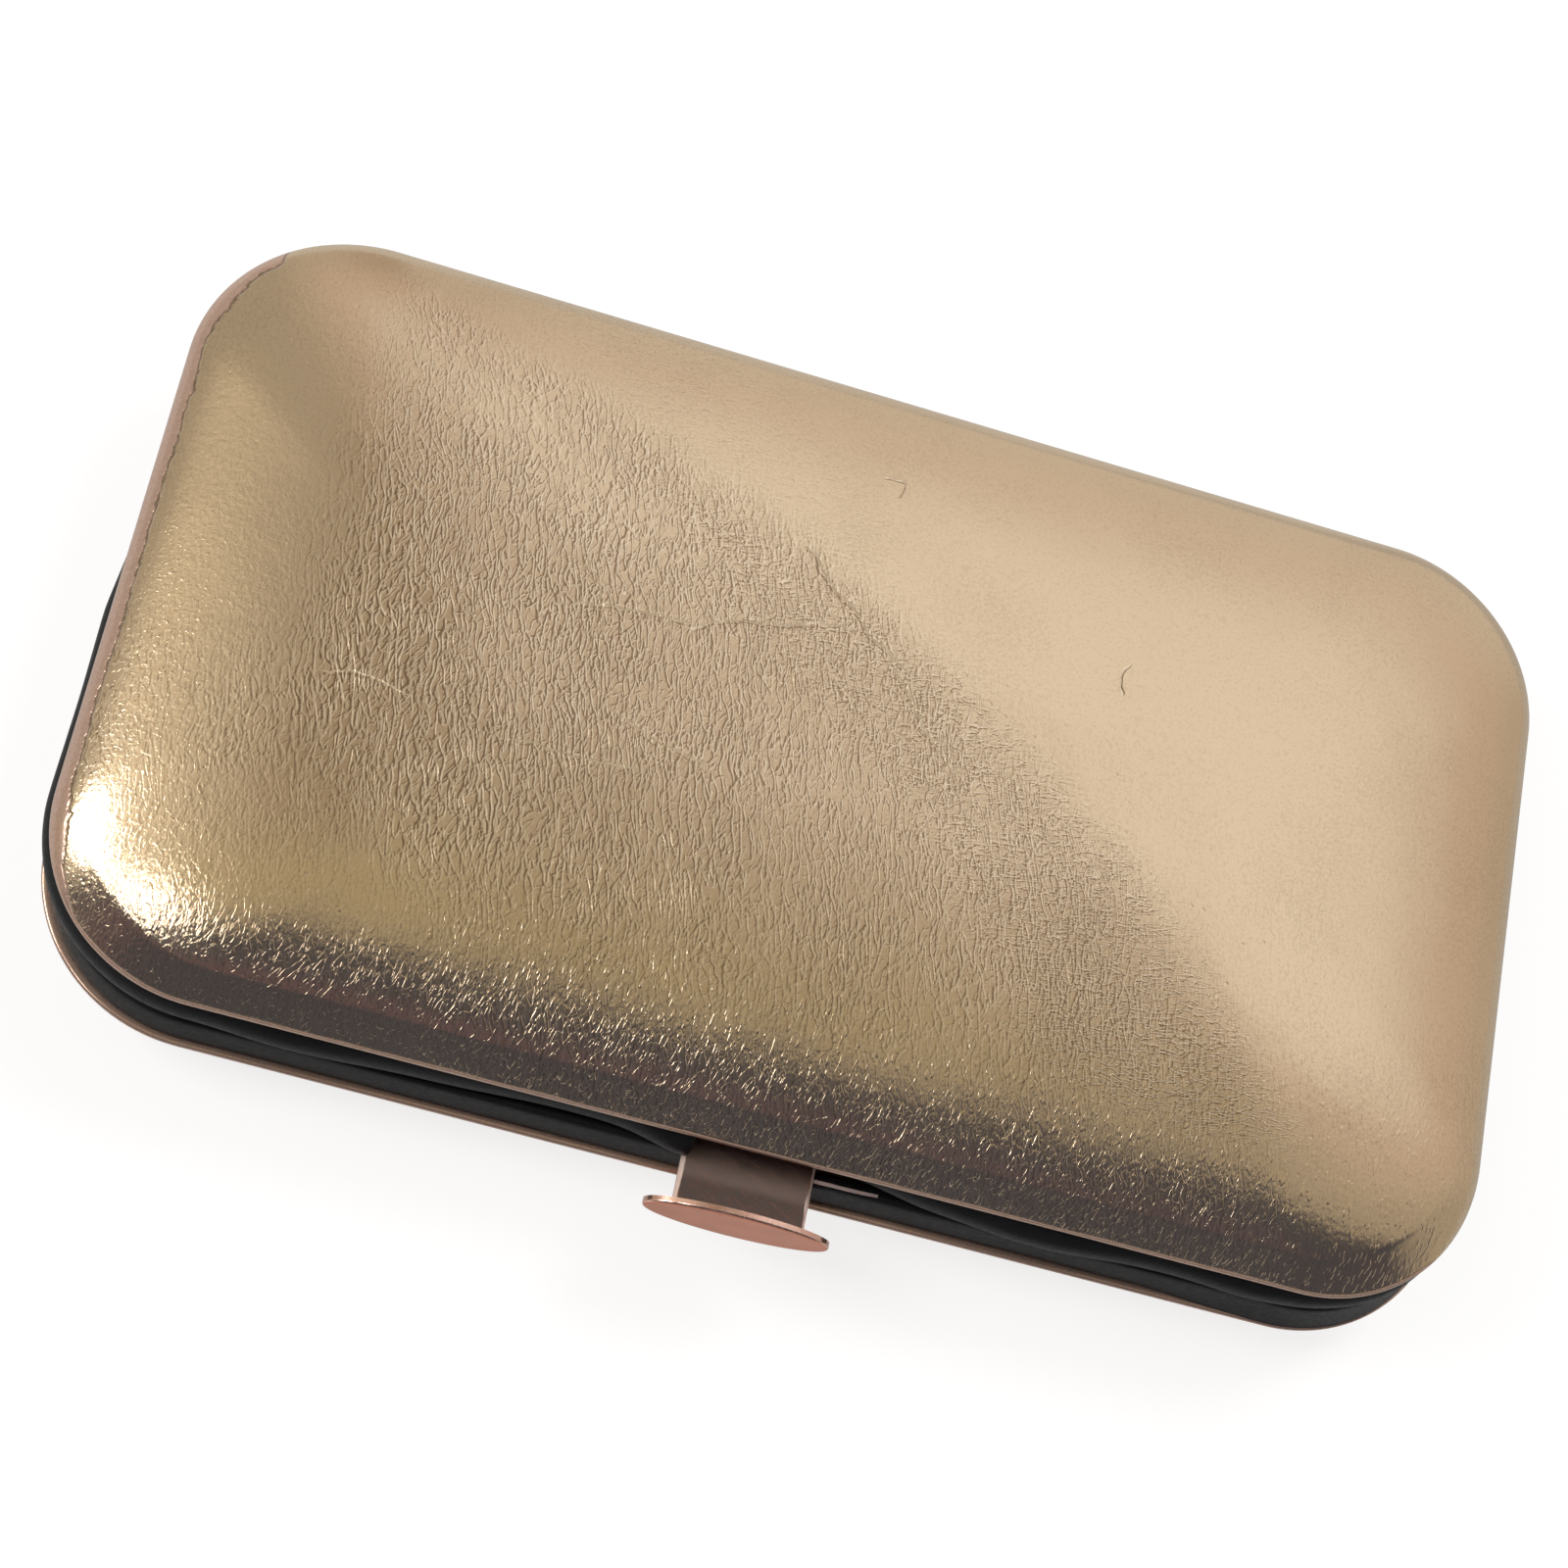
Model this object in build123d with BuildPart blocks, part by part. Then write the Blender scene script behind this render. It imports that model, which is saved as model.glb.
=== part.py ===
from build123d import *
import math
import os

# A hard, leather-covered manicure case that opens like a book.  Its front latch is a slide with
# an oval push button on its end.  Sizes are in millimetres.  The origin is the centre of the flat
# that the case rests on, +X runs along its length, -Y is the latch side and +Z is up.

# The closed case
case_length = 140.0
case_width = 80.2
rim_corner_radius = 16.6
rim_gap = 7.8              # between the two leather rims, filled by the black lips
dome_rise = 7.9            # of the full elliptical crown above a rim
foot_half_width = 12.7     # half of the flat under the base
crown_half_width = 6.0     # half of the flat on top of the lid
lid_setback = 1.5          # the lid sits this much further back than the base
parting_gap = 0.3          # between the closed lips
crown_steps = 9            # levels that shape each crown
corner_taper = 0.55        # how much the corners tighten from the rim to the crown's middle
corner_limit = 0.48        # most that a corner may take of a level's width

# The walls: insets are measured inwards from the rim's outline
leather_thickness = 0.8
shell_thickness = 1.4
lining_thickness = 0.5
flange_inset = 1.0
flange_thickness = 0.8
web_inset = 2.6
web_thickness = 1.2
lip_inset = {"base": 0.4, "lid": -0.8}
lip_fillet = {"base": 0.5, "lid": 1.2}
lip_collar_inset = 0.4

# The padded trays that fill the two crowns, from the parting plane to their faces
tray_drop = {"base": 5.2, "lid": 5.6}

# The hinge
hinge_length = 40.0
hinge_outset = 0.1         # from the lid's leather rim out to the pin
knuckle_count = 5
knuckle_radius = 1.3
knuckle_gap = 0.2
pin_radius = 0.6
pin_clearance = 0.05
pin_head_radius = 1.0
pin_head_thickness = 0.6
pin_end_play = 0.1
leaf_thickness = 0.7
leaf_clearance = 0.3
leaf_height = 3.4
leaf_rivet_spacing = 14.0
leaf_rivet_drop = 2.2

# The latch: places are measured from the case's centre line towards the front
slide_width = 12.6
slide_thickness = 1.2
slide_height = 0.3         # of its middle over the parting plane
slide_bevel = 0.3
slide_tail = 31.0
slide_clearance = 0.15
button_width = 17.9
button_height = 7.2
button_thickness = 0.7
button_edge = 0.25
button_reach = 44.9
prong_width = 2.0
prong_thickness = 0.9
prong_spacing = 6.0
barb_length = 0.8
barb_thickness = 0.7
catch_clearance = 0.3
catch_drop = 1.9
catch_thickness = 0.6
catch_width = 11.0
plate_width = 18.4
plate_thickness = 0.6
plate_foot_drop = 3.6
latch_rivet_spacing = 15.0
latch_rivet_drop = 2.7
housing_thickness = 0.6
housing_tab = 2.0
housing_front = 33.3
housing_back = 24.6
spring_radius = 0.6
spring_wire = 0.12
spring_turns = 9
spring_spacing = 6.0
spring_end_gap = 0.1
lip_opening = (-6.8, 8.6)  # of the lid's lip over the slide, along X

# Rivets
rivet_radius = 0.6
rivet_head_radius = 1.1
rivet_head_thickness = 0.4

# The nail clipper, lying in the base along X
clipper_place = (-6.0, -17.0)
clipper_half_length = 28.0
clipper_width = 10.5
clipper_lever_width = 9.0
clipper_floor_drop = 7.3
clipper_leaf = 1.2
clipper_height = 8.1
clipper_post_radius = 1.5
clipper_post_head_radius = 2.1
clipper_post_at = 19.0
clipper_post_head_at = 6.7
clipper_weld = 10.0        # length of the tail where the two leaves are joined
# side outlines: (distance from the cutting end or the tail, height)
clipper_lower_jaw = ((9.0, 0.0), (2.5, 0.9), (0.0, 3.2), (1.4, 3.2), (3.4, 2.1), (9.4, 1.2))
clipper_upper_jaw = ((26.0, 2.9), (12.0, 3.9), (4.4, 4.1), (1.2, 3.3), (0.0, 3.3), (0.0, 3.5),
                     (3.0, 5.2), (12.0, 5.1), (26.0, 4.1))
clipper_lever_root = ((28.0, 7.3), (16.0, 6.7), (5.5, 6.6), (5.5, 5.25), (14.0, 5.2), (28.0, 6.0))
clipper_lever_end = ((6.0, 6.9), (6.0, 8.1))
finger_notch_radius = 9.0
finger_notch_depth = 1.2

# The cuticle scissors, lying in the base along X
scissor_place = (-18.0, 11.0)
scissor_floor_drop = 5.9
scissor_thickness = 1.5
scissor_blade = 27.0
scissor_tip_radius = 0.5
scissor_hub_radius = 3.4
scissor_shank = (33.0, 7.0)
scissor_shank_radius = 1.7
scissor_ring_at = (46.0, 10.0)
scissor_ring_radii = (13.0, 9.5)
scissor_finger_radii = (9.6, 6.3)
scissor_screw_radius = 2.1
scissor_screw_stem = 1.0
scissor_screw_head = 0.5
recess_clearance = 0.4

# The tools in the lid lie along X, each on its own line off the lid's centre line
file_length = 98.0
file_width = 6.4
file_thickness = 1.2
file_line = 7.0
handle_length = 38.0
handle_width = 8.0
handle_thickness = 2.2
tweezer_length = 88.0
tweezer_width = 8.4
tweezer_tip = 1.6
tweezer_depth = 2.8
tweezer_arm = 0.8
tweezer_line = 21.0
tweezer_weld = 8.0         # length of the back end where the arms are joined
tweezer_bow = (-10.0, 12.0)  # between these the lower arm stands furthest off
tweezer_gap = 0.2          # between the tips
pusher_length = 102.0
pusher_radius = 1.1
pusher_spoon = (5.4, 13.0, 0.9)
pusher_line = -7.0
pick_length = 94.0
pick_radius = 1.0
pick_spoon = (3.6, 6.0, 0.8)
pick_line = -19.0

# The elastic bands
band_thickness = 0.6
band_width = 9.0
band_clearance = 0.1
band_seat = 2.4            # of band sewn down beyond the last loop
band_slope = 72.0
lid_band_spacing = 52.0
scissor_band_at = 15.0     # from the scissors' pivot
clipper_band_at = -8.0     # from the clipper's middle

# Derived sizes
half_length = case_length / 2
half_width = case_width / 2
half_gap = rim_gap / 2
lip_start = parting_gap / 2
foot_inset = half_width - foot_half_width
crown_inset = half_width - crown_half_width
void_inset = leather_thickness + shell_thickness
web_end = web_inset + web_thickness
flange_start = half_gap - flange_thickness


def crown(inset):
    """Height of the outer surface over the rim, this far in from the rim's outline."""
    return dome_rise * math.sqrt(1 - (1 - inset / half_width) ** 2)


parting = half_gap + crown(foot_inset)
centre_y = {"base": 0.0, "lid": lid_setback}
upward = {"base": -1, "lid": 1}
flat_inset = {"base": foot_inset, "lid": crown_inset}
pin_y = lid_setback + half_width + hinge_outset
slide_top = slide_height + slide_thickness / 2
slide_foot = slide_height - slide_thickness / 2
os.makedirs("parts", exist_ok=True)


def save(piece, name):
    """Label a finished piece and write it as the node of that name."""
    piece.part.label = name
    export_step(piece.part, f"parts/{name}.step")


def level(side, drop):
    """Height of a plane this far from the parting plane, into the named half."""
    return parting + upward[side] * drop


def outline(side, inset, height):
    """The rim's rounded outline, drawn in by an inset."""
    with BuildSketch(Plane.XY.offset(height)) as shape:
        with Locations((0, centre_y[side])):
            RectangleRounded(
                case_length - 2 * inset, case_width - 2 * inset, rim_corner_radius - inset
            )
    return shape.sketch


def ring(side, outer, inner, near, far):
    """A band round the rim between two insets, from one drop to another."""
    direction = (0, 0, upward[side])
    with BuildPart() as band:
        extrude(outline(side, outer, level(side, near)), amount=far - near, dir=direction)
        extrude(outline(side, inner, level(side, near)), amount=far - near, dir=direction,
                mode=Mode.SUBTRACT)
    return band.part


def dome(side, skin):
    """The solid crown of one half under a skin of the given thickness, down to its rim."""
    with BuildPart() as body:
        for step in range(crown_steps + 1):
            inset = flat_inset[side] * (step / crown_steps) ** 2
            across = 2 * (half_width - inset - skin)
            corner = rim_corner_radius * (1 - corner_taper * inset / half_width) - skin
            with BuildSketch(Plane.XY.offset(level(side, half_gap + crown(inset) - skin))):
                with Locations((0, centre_y[side])):
                    RectangleRounded(
                        2 * (half_length - inset - skin), across, min(corner, corner_limit * across)
                    )
        loft(ruled=True)
        if skin:
            split(bisect_by=Plane.XY.offset(level(side, half_gap)),
                  keep=Keep.TOP if side == "lid" else Keep.BOTTOM)
    return body.part


def block(x, y, z):
    """A box between two values on each axis, its heights counted from the parting plane."""
    with BuildPart() as body:
        with Locations((sum(x) / 2, sum(y) / 2, parting + sum(z) / 2)):
            Box(abs(x[1] - x[0]), abs(y[1] - y[0]), abs(z[1] - z[0]))
    return body.part


def peg(start, direction, length, radius):
    """A round pin from a point, along a direction."""
    with BuildPart() as body:
        with BuildSketch(Plane(origin=start, z_dir=direction)):
            Circle(radius)
        extrude(amount=length)
    return body.part


def wall_y(side, end, inset):
    """Where a wall at this inset crosses the centre line, at the front (-1) or the back (1)."""
    return centre_y[side] + end * (half_width - inset)


def rivets(side, end, spacing, count, drop, inner_plate):
    """Rivets through the frame's web and a plate on its inner face, with heads inside."""
    outside = wall_y(side, end, web_inset)
    inside = wall_y(side, end, web_end + inner_plate)
    with BuildPart() as group:
        for number in range(count):
            x = spacing * (number - (count - 1) / 2)
            height = level(side, drop)
            add(peg((x, outside, height), (0, -end, 0), abs(outside - inside), rivet_radius))
            add(peg((x, inside, height), (0, -end, 0), rivet_head_thickness, rivet_head_radius))
    return group.part


# The clearances cut through both halves' walls for the slide, the hinge and the fittings
slide_half = slide_width / 2 + slide_clearance
hinge_half = hinge_length / 2 + pin_head_thickness + pin_end_play + leaf_clearance
leaf_back = pin_y - knuckle_radius - leaf_clearance
front = -half_width - 5
back = half_width + 10
slide_slot = block((-slide_half, slide_half), (front, -slide_tail),
                   (slide_foot - slide_clearance, slide_top + slide_clearance))
leaf_slot = block((-hinge_half, hinge_half), (0, back),
                  (-lip_start - leaf_thickness, lip_start + leaf_thickness))
knuckle_slot = block((-hinge_half, hinge_half), (leaf_back - leaf_clearance, back),
                     (-knuckle_radius - leaf_clearance, knuckle_radius + leaf_clearance))
lip_notch = block(lip_opening, (front, 0), (0, half_gap))
plate_half = plate_width / 2 + leaf_clearance
front_fitting = block((-plate_half, plate_half), (front, 0), (-tray_drop["base"], tray_drop["lid"]))
rear_fitting = block((-hinge_half, hinge_half), (0, back), (-tray_drop["base"], tray_drop["lid"]))
leaf_rivets = {
    side: rivets(side, 1, leaf_rivet_spacing, 3, leaf_rivet_drop, leaf_thickness)
    for side in ("base", "lid")
}
latch_rivets = {
    side: rivets(side, -1, latch_rivet_spacing, 2, latch_rivet_drop, plate_thickness)
    for side in ("base", "lid")
}

def spindle(start, end, wide, narrow, thick):
    """A flat bar between two round ends, drawn on the tool's own plane."""
    with BuildSketch() as shape:
        with Locations(start):
            Circle(wide)
        with Locations(end):
            Circle(narrow)
        make_hull()
    return extrude(shape.sketch, amount=thick)


def scissor_half(turn, growth, thick):
    """One half of the scissors about its pivot: blade along -X, shank and ring along +X."""
    with BuildPart() as half:
        add(spindle((0, 0), (-scissor_blade, 0), scissor_hub_radius + growth,
                    scissor_tip_radius + growth, thick))
        add(spindle((0, 0), (scissor_shank[0], turn * scissor_shank[1]),
                    scissor_hub_radius + growth, scissor_shank_radius + growth, thick))
        with BuildSketch():
            with Locations((scissor_ring_at[0], turn * scissor_ring_at[1])):
                Ellipse(scissor_ring_radii[0] + growth, scissor_ring_radii[1] + growth)
        extrude(amount=thick)
        with BuildSketch():
            with Locations((scissor_ring_at[0], turn * scissor_ring_at[1])):
                Ellipse(scissor_finger_radii[0] - growth, scissor_finger_radii[1] - growth)
        extrude(amount=thick, mode=Mode.SUBTRACT)
    return half.part


def scissors_at(drop):
    """The place of a scissors layer whose underside is this far under the parting plane."""
    return Location((*scissor_place, parting - drop))


def profile(points, width, place, foot):
    """A strip bent to a side outline in X and height, centred on its place in Y."""
    with BuildPart() as strip:
        with BuildSketch(Plane.XZ):
            with BuildLine():
                Polyline(*points, close=True)
            make_face()
        extrude(amount=width / 2, both=True)
    return strip.part.moved(Location((*place, parting + foot)))


def recesses():
    """The shaped hollows of the base tray, cut from its face."""
    face = Plane.XY.offset(level("base", tray_drop["base"]))
    with BuildPart() as cuts:
        with BuildSketch(face):
            with Locations(clipper_place):
                RectangleRounded(2 * (clipper_half_length + recess_clearance),
                                 clipper_width + 2 * recess_clearance, 2 * recess_clearance)
        extrude(amount=tray_drop["base"] - clipper_floor_drop)
        with BuildSketch(face):
            with Locations(clipper_place):
                Circle(finger_notch_radius)
        extrude(amount=-finger_notch_depth)
        for turn in (-1, 1):
            depth = scissor_floor_drop - tray_drop["base"]
            add(scissor_half(turn, recess_clearance, depth).moved(
                scissors_at(scissor_floor_drop)))
    return cuts.part


def band(x, base_y, face, toward, loops, seat):
    """An elastic band across the tools: loops of (y, width, depth) joined by flat stitched runs."""
    slope = band_thickness / math.tan(math.radians(band_slope))
    low = min(y - width / 2 for y, width, depth in loops) - seat
    high = max(y + width / 2 for y, width, depth in loops) + seat
    plane = Plane(origin=(x, base_y, face), x_dir=(0, 1, 0), z_dir=(toward, 0, 0))
    with BuildPart() as strap:
        with BuildSketch(plane):
            with BuildLine():
                Polyline((low, 0), (high, 0), (high, band_thickness), (low, band_thickness),
                         close=True)
            make_face()
            for grown, mode in ((band_thickness, Mode.ADD), (0, Mode.SUBTRACT)):
                for y, width, depth in loops:
                    half = width / 2 + band_clearance + grown
                    tall = depth + band_clearance + grown
                    lean = tall / math.tan(math.radians(band_slope))
                    with BuildLine():
                        Polyline((y - half - lean, 0), (y + half + lean, 0), (y + half, tall),
                                 (y - half, tall), close=True)
                    make_face(mode=mode)
        extrude(amount=band_width / 2, both=True)
    return strap.part


for side in ("base", "lid"):
    outside = dome(side, 0)
    shell_outside = dome(side, leather_thickness)
    void = dome(side, void_inset)
    lined_void = dome(side, void_inset + lining_thickness)
    tray_plane = Plane.XY.offset(level(side, tray_drop[side]))
    keep_outer, keep_inner = (Keep.TOP, Keep.BOTTOM) if side == "lid" else (Keep.BOTTOM, Keep.TOP)

    # The gold leather over the crown
    with BuildPart() as leather:
        add(outside)
        add(shell_outside, mode=Mode.SUBTRACT)
    save(leather, f"{side}_leather")

    # The moulded shell under it
    with BuildPart() as shell:
        add(shell_outside)
        add(void, mode=Mode.SUBTRACT)
    save(shell, f"{side}_shell")

    # The metal frame: a flange under the shell's edge and an upright web
    with BuildPart() as frame:
        add(ring(side, flange_inset, web_end, flange_start, half_gap))
        add(ring(side, web_inset, web_end, lip_start, flange_start))
        add(slide_slot, mode=Mode.SUBTRACT)
        add(leaf_slot, mode=Mode.SUBTRACT)
        add(leaf_rivets[side], mode=Mode.SUBTRACT)
        add(latch_rivets[side], mode=Mode.SUBTRACT)
    save(frame, f"{side}_frame")

    # The soft black lip that wraps the frame
    with BuildPart() as lip:
        add(ring(side, lip_inset[side], web_inset, lip_start, flange_start))
        flats = lip.faces().filter_by(Axis.Z)
        fillet([edge for flat in flats for edge in flat.outer_wire().edges()],
               radius=lip_fillet[side])
        add(ring(side, lip_collar_inset, flange_inset, flange_start, half_gap))
        add(slide_slot, mode=Mode.SUBTRACT)
        add(leaf_slot, mode=Mode.SUBTRACT)
        add(knuckle_slot, mode=Mode.SUBTRACT)
        if side == "lid":
            add(lip_notch, mode=Mode.SUBTRACT)
    save(lip, f"{side}_lip")

    # The lining on the inner walls, cut away at the fittings
    with BuildPart() as lining:
        add(void)
        add(lined_void, mode=Mode.SUBTRACT)
        split(bisect_by=tray_plane, keep=keep_inner)
        add(ring(side, web_end, web_end + lining_thickness, 2 * lip_start, half_gap))
        add(front_fitting, mode=Mode.SUBTRACT)
        add(rear_fitting, mode=Mode.SUBTRACT)
    save(lining, f"{side}_lining")

    # The padded tray that fills the crown
    with BuildPart() as tray:
        add(void)
        split(bisect_by=tray_plane, keep=keep_outer)
        if side == "base":
            add(recesses(), mode=Mode.SUBTRACT)
    save(tray, f"{side}_tray")

# The hinge: two leaves with meshing knuckles, bent over the webs and riveted inside them
knuckle_pitch = (hinge_length + knuckle_gap) / knuckle_count
knuckle_length = knuckle_pitch - knuckle_gap
pin_hole = peg((-hinge_length, pin_y, parting), (1, 0, 0), 2 * hinge_length,
               pin_radius + pin_clearance)
for side in ("base", "lid"):
    inner = wall_y(side, 1, web_end)
    lift = upward[side]
    near, far = lift * lip_start, lift * (lip_start + leaf_thickness)
    with BuildPart() as leaf:
        add(block((-hinge_length / 2, hinge_length / 2), (inner - leaf_thickness, leaf_back),
                  (near, far)))
        add(block((-hinge_length / 2, hinge_length / 2), (inner - leaf_thickness, inner),
                  (near, lift * leaf_height)))
        for number in range(0 if side == "base" else 1, knuckle_count, 2):
            start = number * knuckle_pitch - hinge_length / 2
            add(peg((start, pin_y, parting), (1, 0, 0), knuckle_length, knuckle_radius))
            add(block((start, start + knuckle_length), (leaf_back, pin_y), (near, far)))
        add(pin_hole, mode=Mode.SUBTRACT)
        add(leaf_rivets[side], mode=Mode.SUBTRACT)
    save(leaf, f"{side}_hinge_leaf")

    with BuildPart() as leaf_fasteners:
        add(leaf_rivets[side])
    save(leaf_fasteners, f"{side}_hinge_rivets")

with BuildPart() as hinge_pin:
    pin_reach = hinge_length / 2 + pin_end_play
    add(peg((-pin_reach, pin_y, parting), (1, 0, 0), 2 * pin_reach, pin_radius))
    for end in (-1, 1):
        add(peg((end * pin_reach, pin_y, parting), (end, 0, 0), pin_head_thickness,
                pin_head_radius))
save(hinge_pin, "hinge_pin")

# The latch slide: a plate through the parting, with two barbed prongs that hook the catch
button_back = -(button_reach - button_thickness)
prong_front = -(slide_tail + prong_thickness)
barb_foot = catch_drop + catch_thickness + catch_clearance
with BuildPart() as latch_slide:
    add(block((-slide_width / 2, slide_width / 2), (button_back, -slide_tail),
              (slide_foot, slide_top)))
    chamfer(latch_slide.edges().filter_by(Axis.Y), length=slide_bevel)
    for end in (-1, 1):
        middle = end * prong_spacing / 2
        across = (middle - prong_width / 2, middle + prong_width / 2)
        add(block(across, (prong_front, -slide_tail), (slide_top, barb_foot + barb_thickness)))
        add(block(across, (prong_front - barb_length, prong_front),
                  (barb_foot, barb_foot + barb_thickness)))
save(latch_slide, "latch_slide")

with BuildPart() as push_button:
    with BuildSketch(Plane(origin=(0, button_back, parting + slide_height),
                           x_dir=(1, 0, 0), z_dir=(0, -1, 0))):
        Ellipse(button_width / 2, button_height / 2)
    extrude(amount=button_thickness)
    fillet(push_button.faces().sort_by(Axis.Y)[0].edges(), radius=button_edge)
save(push_button, "push_button")

# The catch on the lid's frame: its ledge stops short of the barbs, which pass over it in life
catch_wall = wall_y("lid", -1, web_end)
with BuildPart() as lid_catch:
    add(block((-plate_width / 2, plate_width / 2), (catch_wall, catch_wall + plate_thickness),
              (slide_top + catch_clearance, half_gap - catch_clearance)))
    add(block((-catch_width / 2, catch_width / 2),
              (catch_wall, prong_front - barb_length - catch_clearance),
              (catch_drop, catch_drop + catch_thickness)))
    add(latch_rivets["lid"], mode=Mode.SUBTRACT)
save(lid_catch, "lid_catch")

# The guide on the base's frame that carries the slide and its springs
guide_wall = wall_y("base", -1, web_end)
guide_floor = slide_foot - slide_clearance
guide_roof = slide_top + slide_clearance + housing_thickness
guide_half = slide_half + housing_thickness
with BuildPart() as latch_guide:
    add(block((-plate_width / 2, plate_width / 2), (guide_wall, guide_wall + plate_thickness),
              (-plate_foot_drop, guide_floor)))
    add(block((-guide_half, guide_half), (guide_wall, -housing_back + housing_thickness),
              (guide_floor - housing_thickness, guide_floor)))
    add(block((-guide_half, guide_half), (-housing_back, -housing_back + housing_thickness),
              (guide_floor, guide_roof)))
    for end in (-1, 1):
        add(block((end * slide_half, end * guide_half), (-housing_front, -housing_back),
                  (guide_floor, guide_roof)))
        add(block((end * (slide_half - housing_tab), end * guide_half),
                  (-housing_front, -housing_back), (guide_roof - housing_thickness, guide_roof)))
    add(latch_rivets["base"], mode=Mode.SUBTRACT)
save(latch_guide, "latch_guide")

for side, name in (("base", "latch_guide_rivets"), ("lid", "lid_catch_rivets")):
    with BuildPart() as latch_fasteners:
        add(latch_rivets[side])
    save(latch_fasteners, name)

# The two return springs between the slide's tail and the guide's back wall
spring_length = slide_tail - housing_back - 2 * (spring_end_gap + spring_wire)
with BuildPart() as latch_springs:
    for end in (-1, 1):
        start = (end * spring_spacing / 2, -slide_tail + spring_end_gap + spring_wire,
                 parting + slide_height)
        coil_plane = Plane(origin=start, x_dir=(1, 0, 0), z_dir=(0, 1, 0))
        coil = coil_plane * Helix(spring_length / spring_turns, spring_length, spring_radius)
        with BuildSketch(Plane(origin=coil @ 0, z_dir=coil % 0)):
            Circle(spring_wire)
        sweep(path=coil)
save(latch_springs, "latch_springs")

# The nail clipper: two leaves, the post through them and the folded lever
tail = -clipper_half_length
lower_jaw, upper_jaw, lever_root = (
    [(clipper_half_length - back_by, height) for back_by, height in line]
    for line in (clipper_lower_jaw, clipper_upper_jaw, clipper_lever_root)
)
lever_end = [(tail + forward_by, height) for forward_by, height in clipper_lever_end]
post_foot = (clipper_place[0] + clipper_post_at, clipper_place[1], parting - clipper_floor_drop)
post_head = (*post_foot[:2], post_foot[2] + clipper_post_head_at)
post_stem = peg(post_foot, (0, 0, 1), clipper_height - band_thickness, clipper_post_radius)
with BuildPart() as clipper_lower_blade:
    add(profile(((tail, 0), *lower_jaw, (tail, clipper_leaf)),
                clipper_width, clipper_place, -clipper_floor_drop))
    add(post_stem, mode=Mode.SUBTRACT)
save(clipper_lower_blade, "clipper_lower_blade")

with BuildPart() as clipper_upper_blade:
    add(profile(((tail, clipper_leaf), (tail + clipper_weld, clipper_leaf), *upper_jaw,
                 (tail + clipper_weld, 2 * clipper_leaf), (tail, 2 * clipper_leaf)),
                clipper_width, clipper_place, -clipper_floor_drop))
    add(post_stem, mode=Mode.SUBTRACT)
save(clipper_upper_blade, "clipper_upper_blade")

with BuildPart() as clipper_lever:
    add(profile((*lever_end, *lever_root), clipper_lever_width, clipper_place,
                -clipper_floor_drop))
    add(post_stem, mode=Mode.SUBTRACT)
save(clipper_lever, "clipper_lever")

with BuildPart() as clipper_post:
    add(post_stem)
    add(peg(post_head, (0, 0, 1), clipper_height - clipper_post_head_at,
            clipper_post_head_radius))
save(clipper_post, "clipper_post")

# The cuticle scissors: one half over the other, and the screw through both
screw_foot = (*scissor_place, parting - scissor_floor_drop)
screw_stem = peg(screw_foot, (0, 0, 1), 2 * scissor_thickness, scissor_screw_stem)
for layer, (name, turn) in enumerate((("scissor_lower_half", -1), ("scissor_upper_half", 1))):
    with BuildPart() as half:
        drop = scissor_floor_drop - layer * scissor_thickness
        add(scissor_half(turn, 0, scissor_thickness).moved(scissors_at(drop)))
        add(screw_stem, mode=Mode.SUBTRACT)
    save(half, name)

with BuildPart() as scissor_screw:
    add(screw_stem)
    with BuildSketch(Plane.XY.offset(parting - scissor_floor_drop + 2 * scissor_thickness)):
        with Locations(scissor_place):
            Circle(scissor_screw_radius)
    extrude(amount=scissor_screw_head)
save(scissor_screw, "scissor_screw")

# The tools under the lid's tray, hanging from its face
lid_face = tray_drop["lid"]


def lid_place(line, depth):
    """The place of a tool on a line of the lid, with its top this far under the tray's face."""
    return (0, lid_setback + line), lid_face - depth


half_file = file_length / 2
blade_drop = (handle_thickness - file_thickness) / 2
place, height = lid_place(file_line, blade_drop)
with BuildPart() as file_blade:
    with BuildSketch(Plane.XY.offset(parting + height - file_thickness)):
        with Locations(place):
            SlotOverall(file_length, file_width)
    extrude(amount=file_thickness)
save(file_blade, "file_blade")

with BuildPart() as file_handle:
    with BuildSketch(Plane.XY.offset(parting + lid_face - handle_thickness)):
        with Locations((half_file - handle_length / 2 + handle_width / 8, place[1])):
            SlotOverall(handle_length, handle_width)
    extrude(amount=handle_thickness)
    add(file_blade.part, mode=Mode.SUBTRACT)
save(file_handle, "file_handle")

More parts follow.
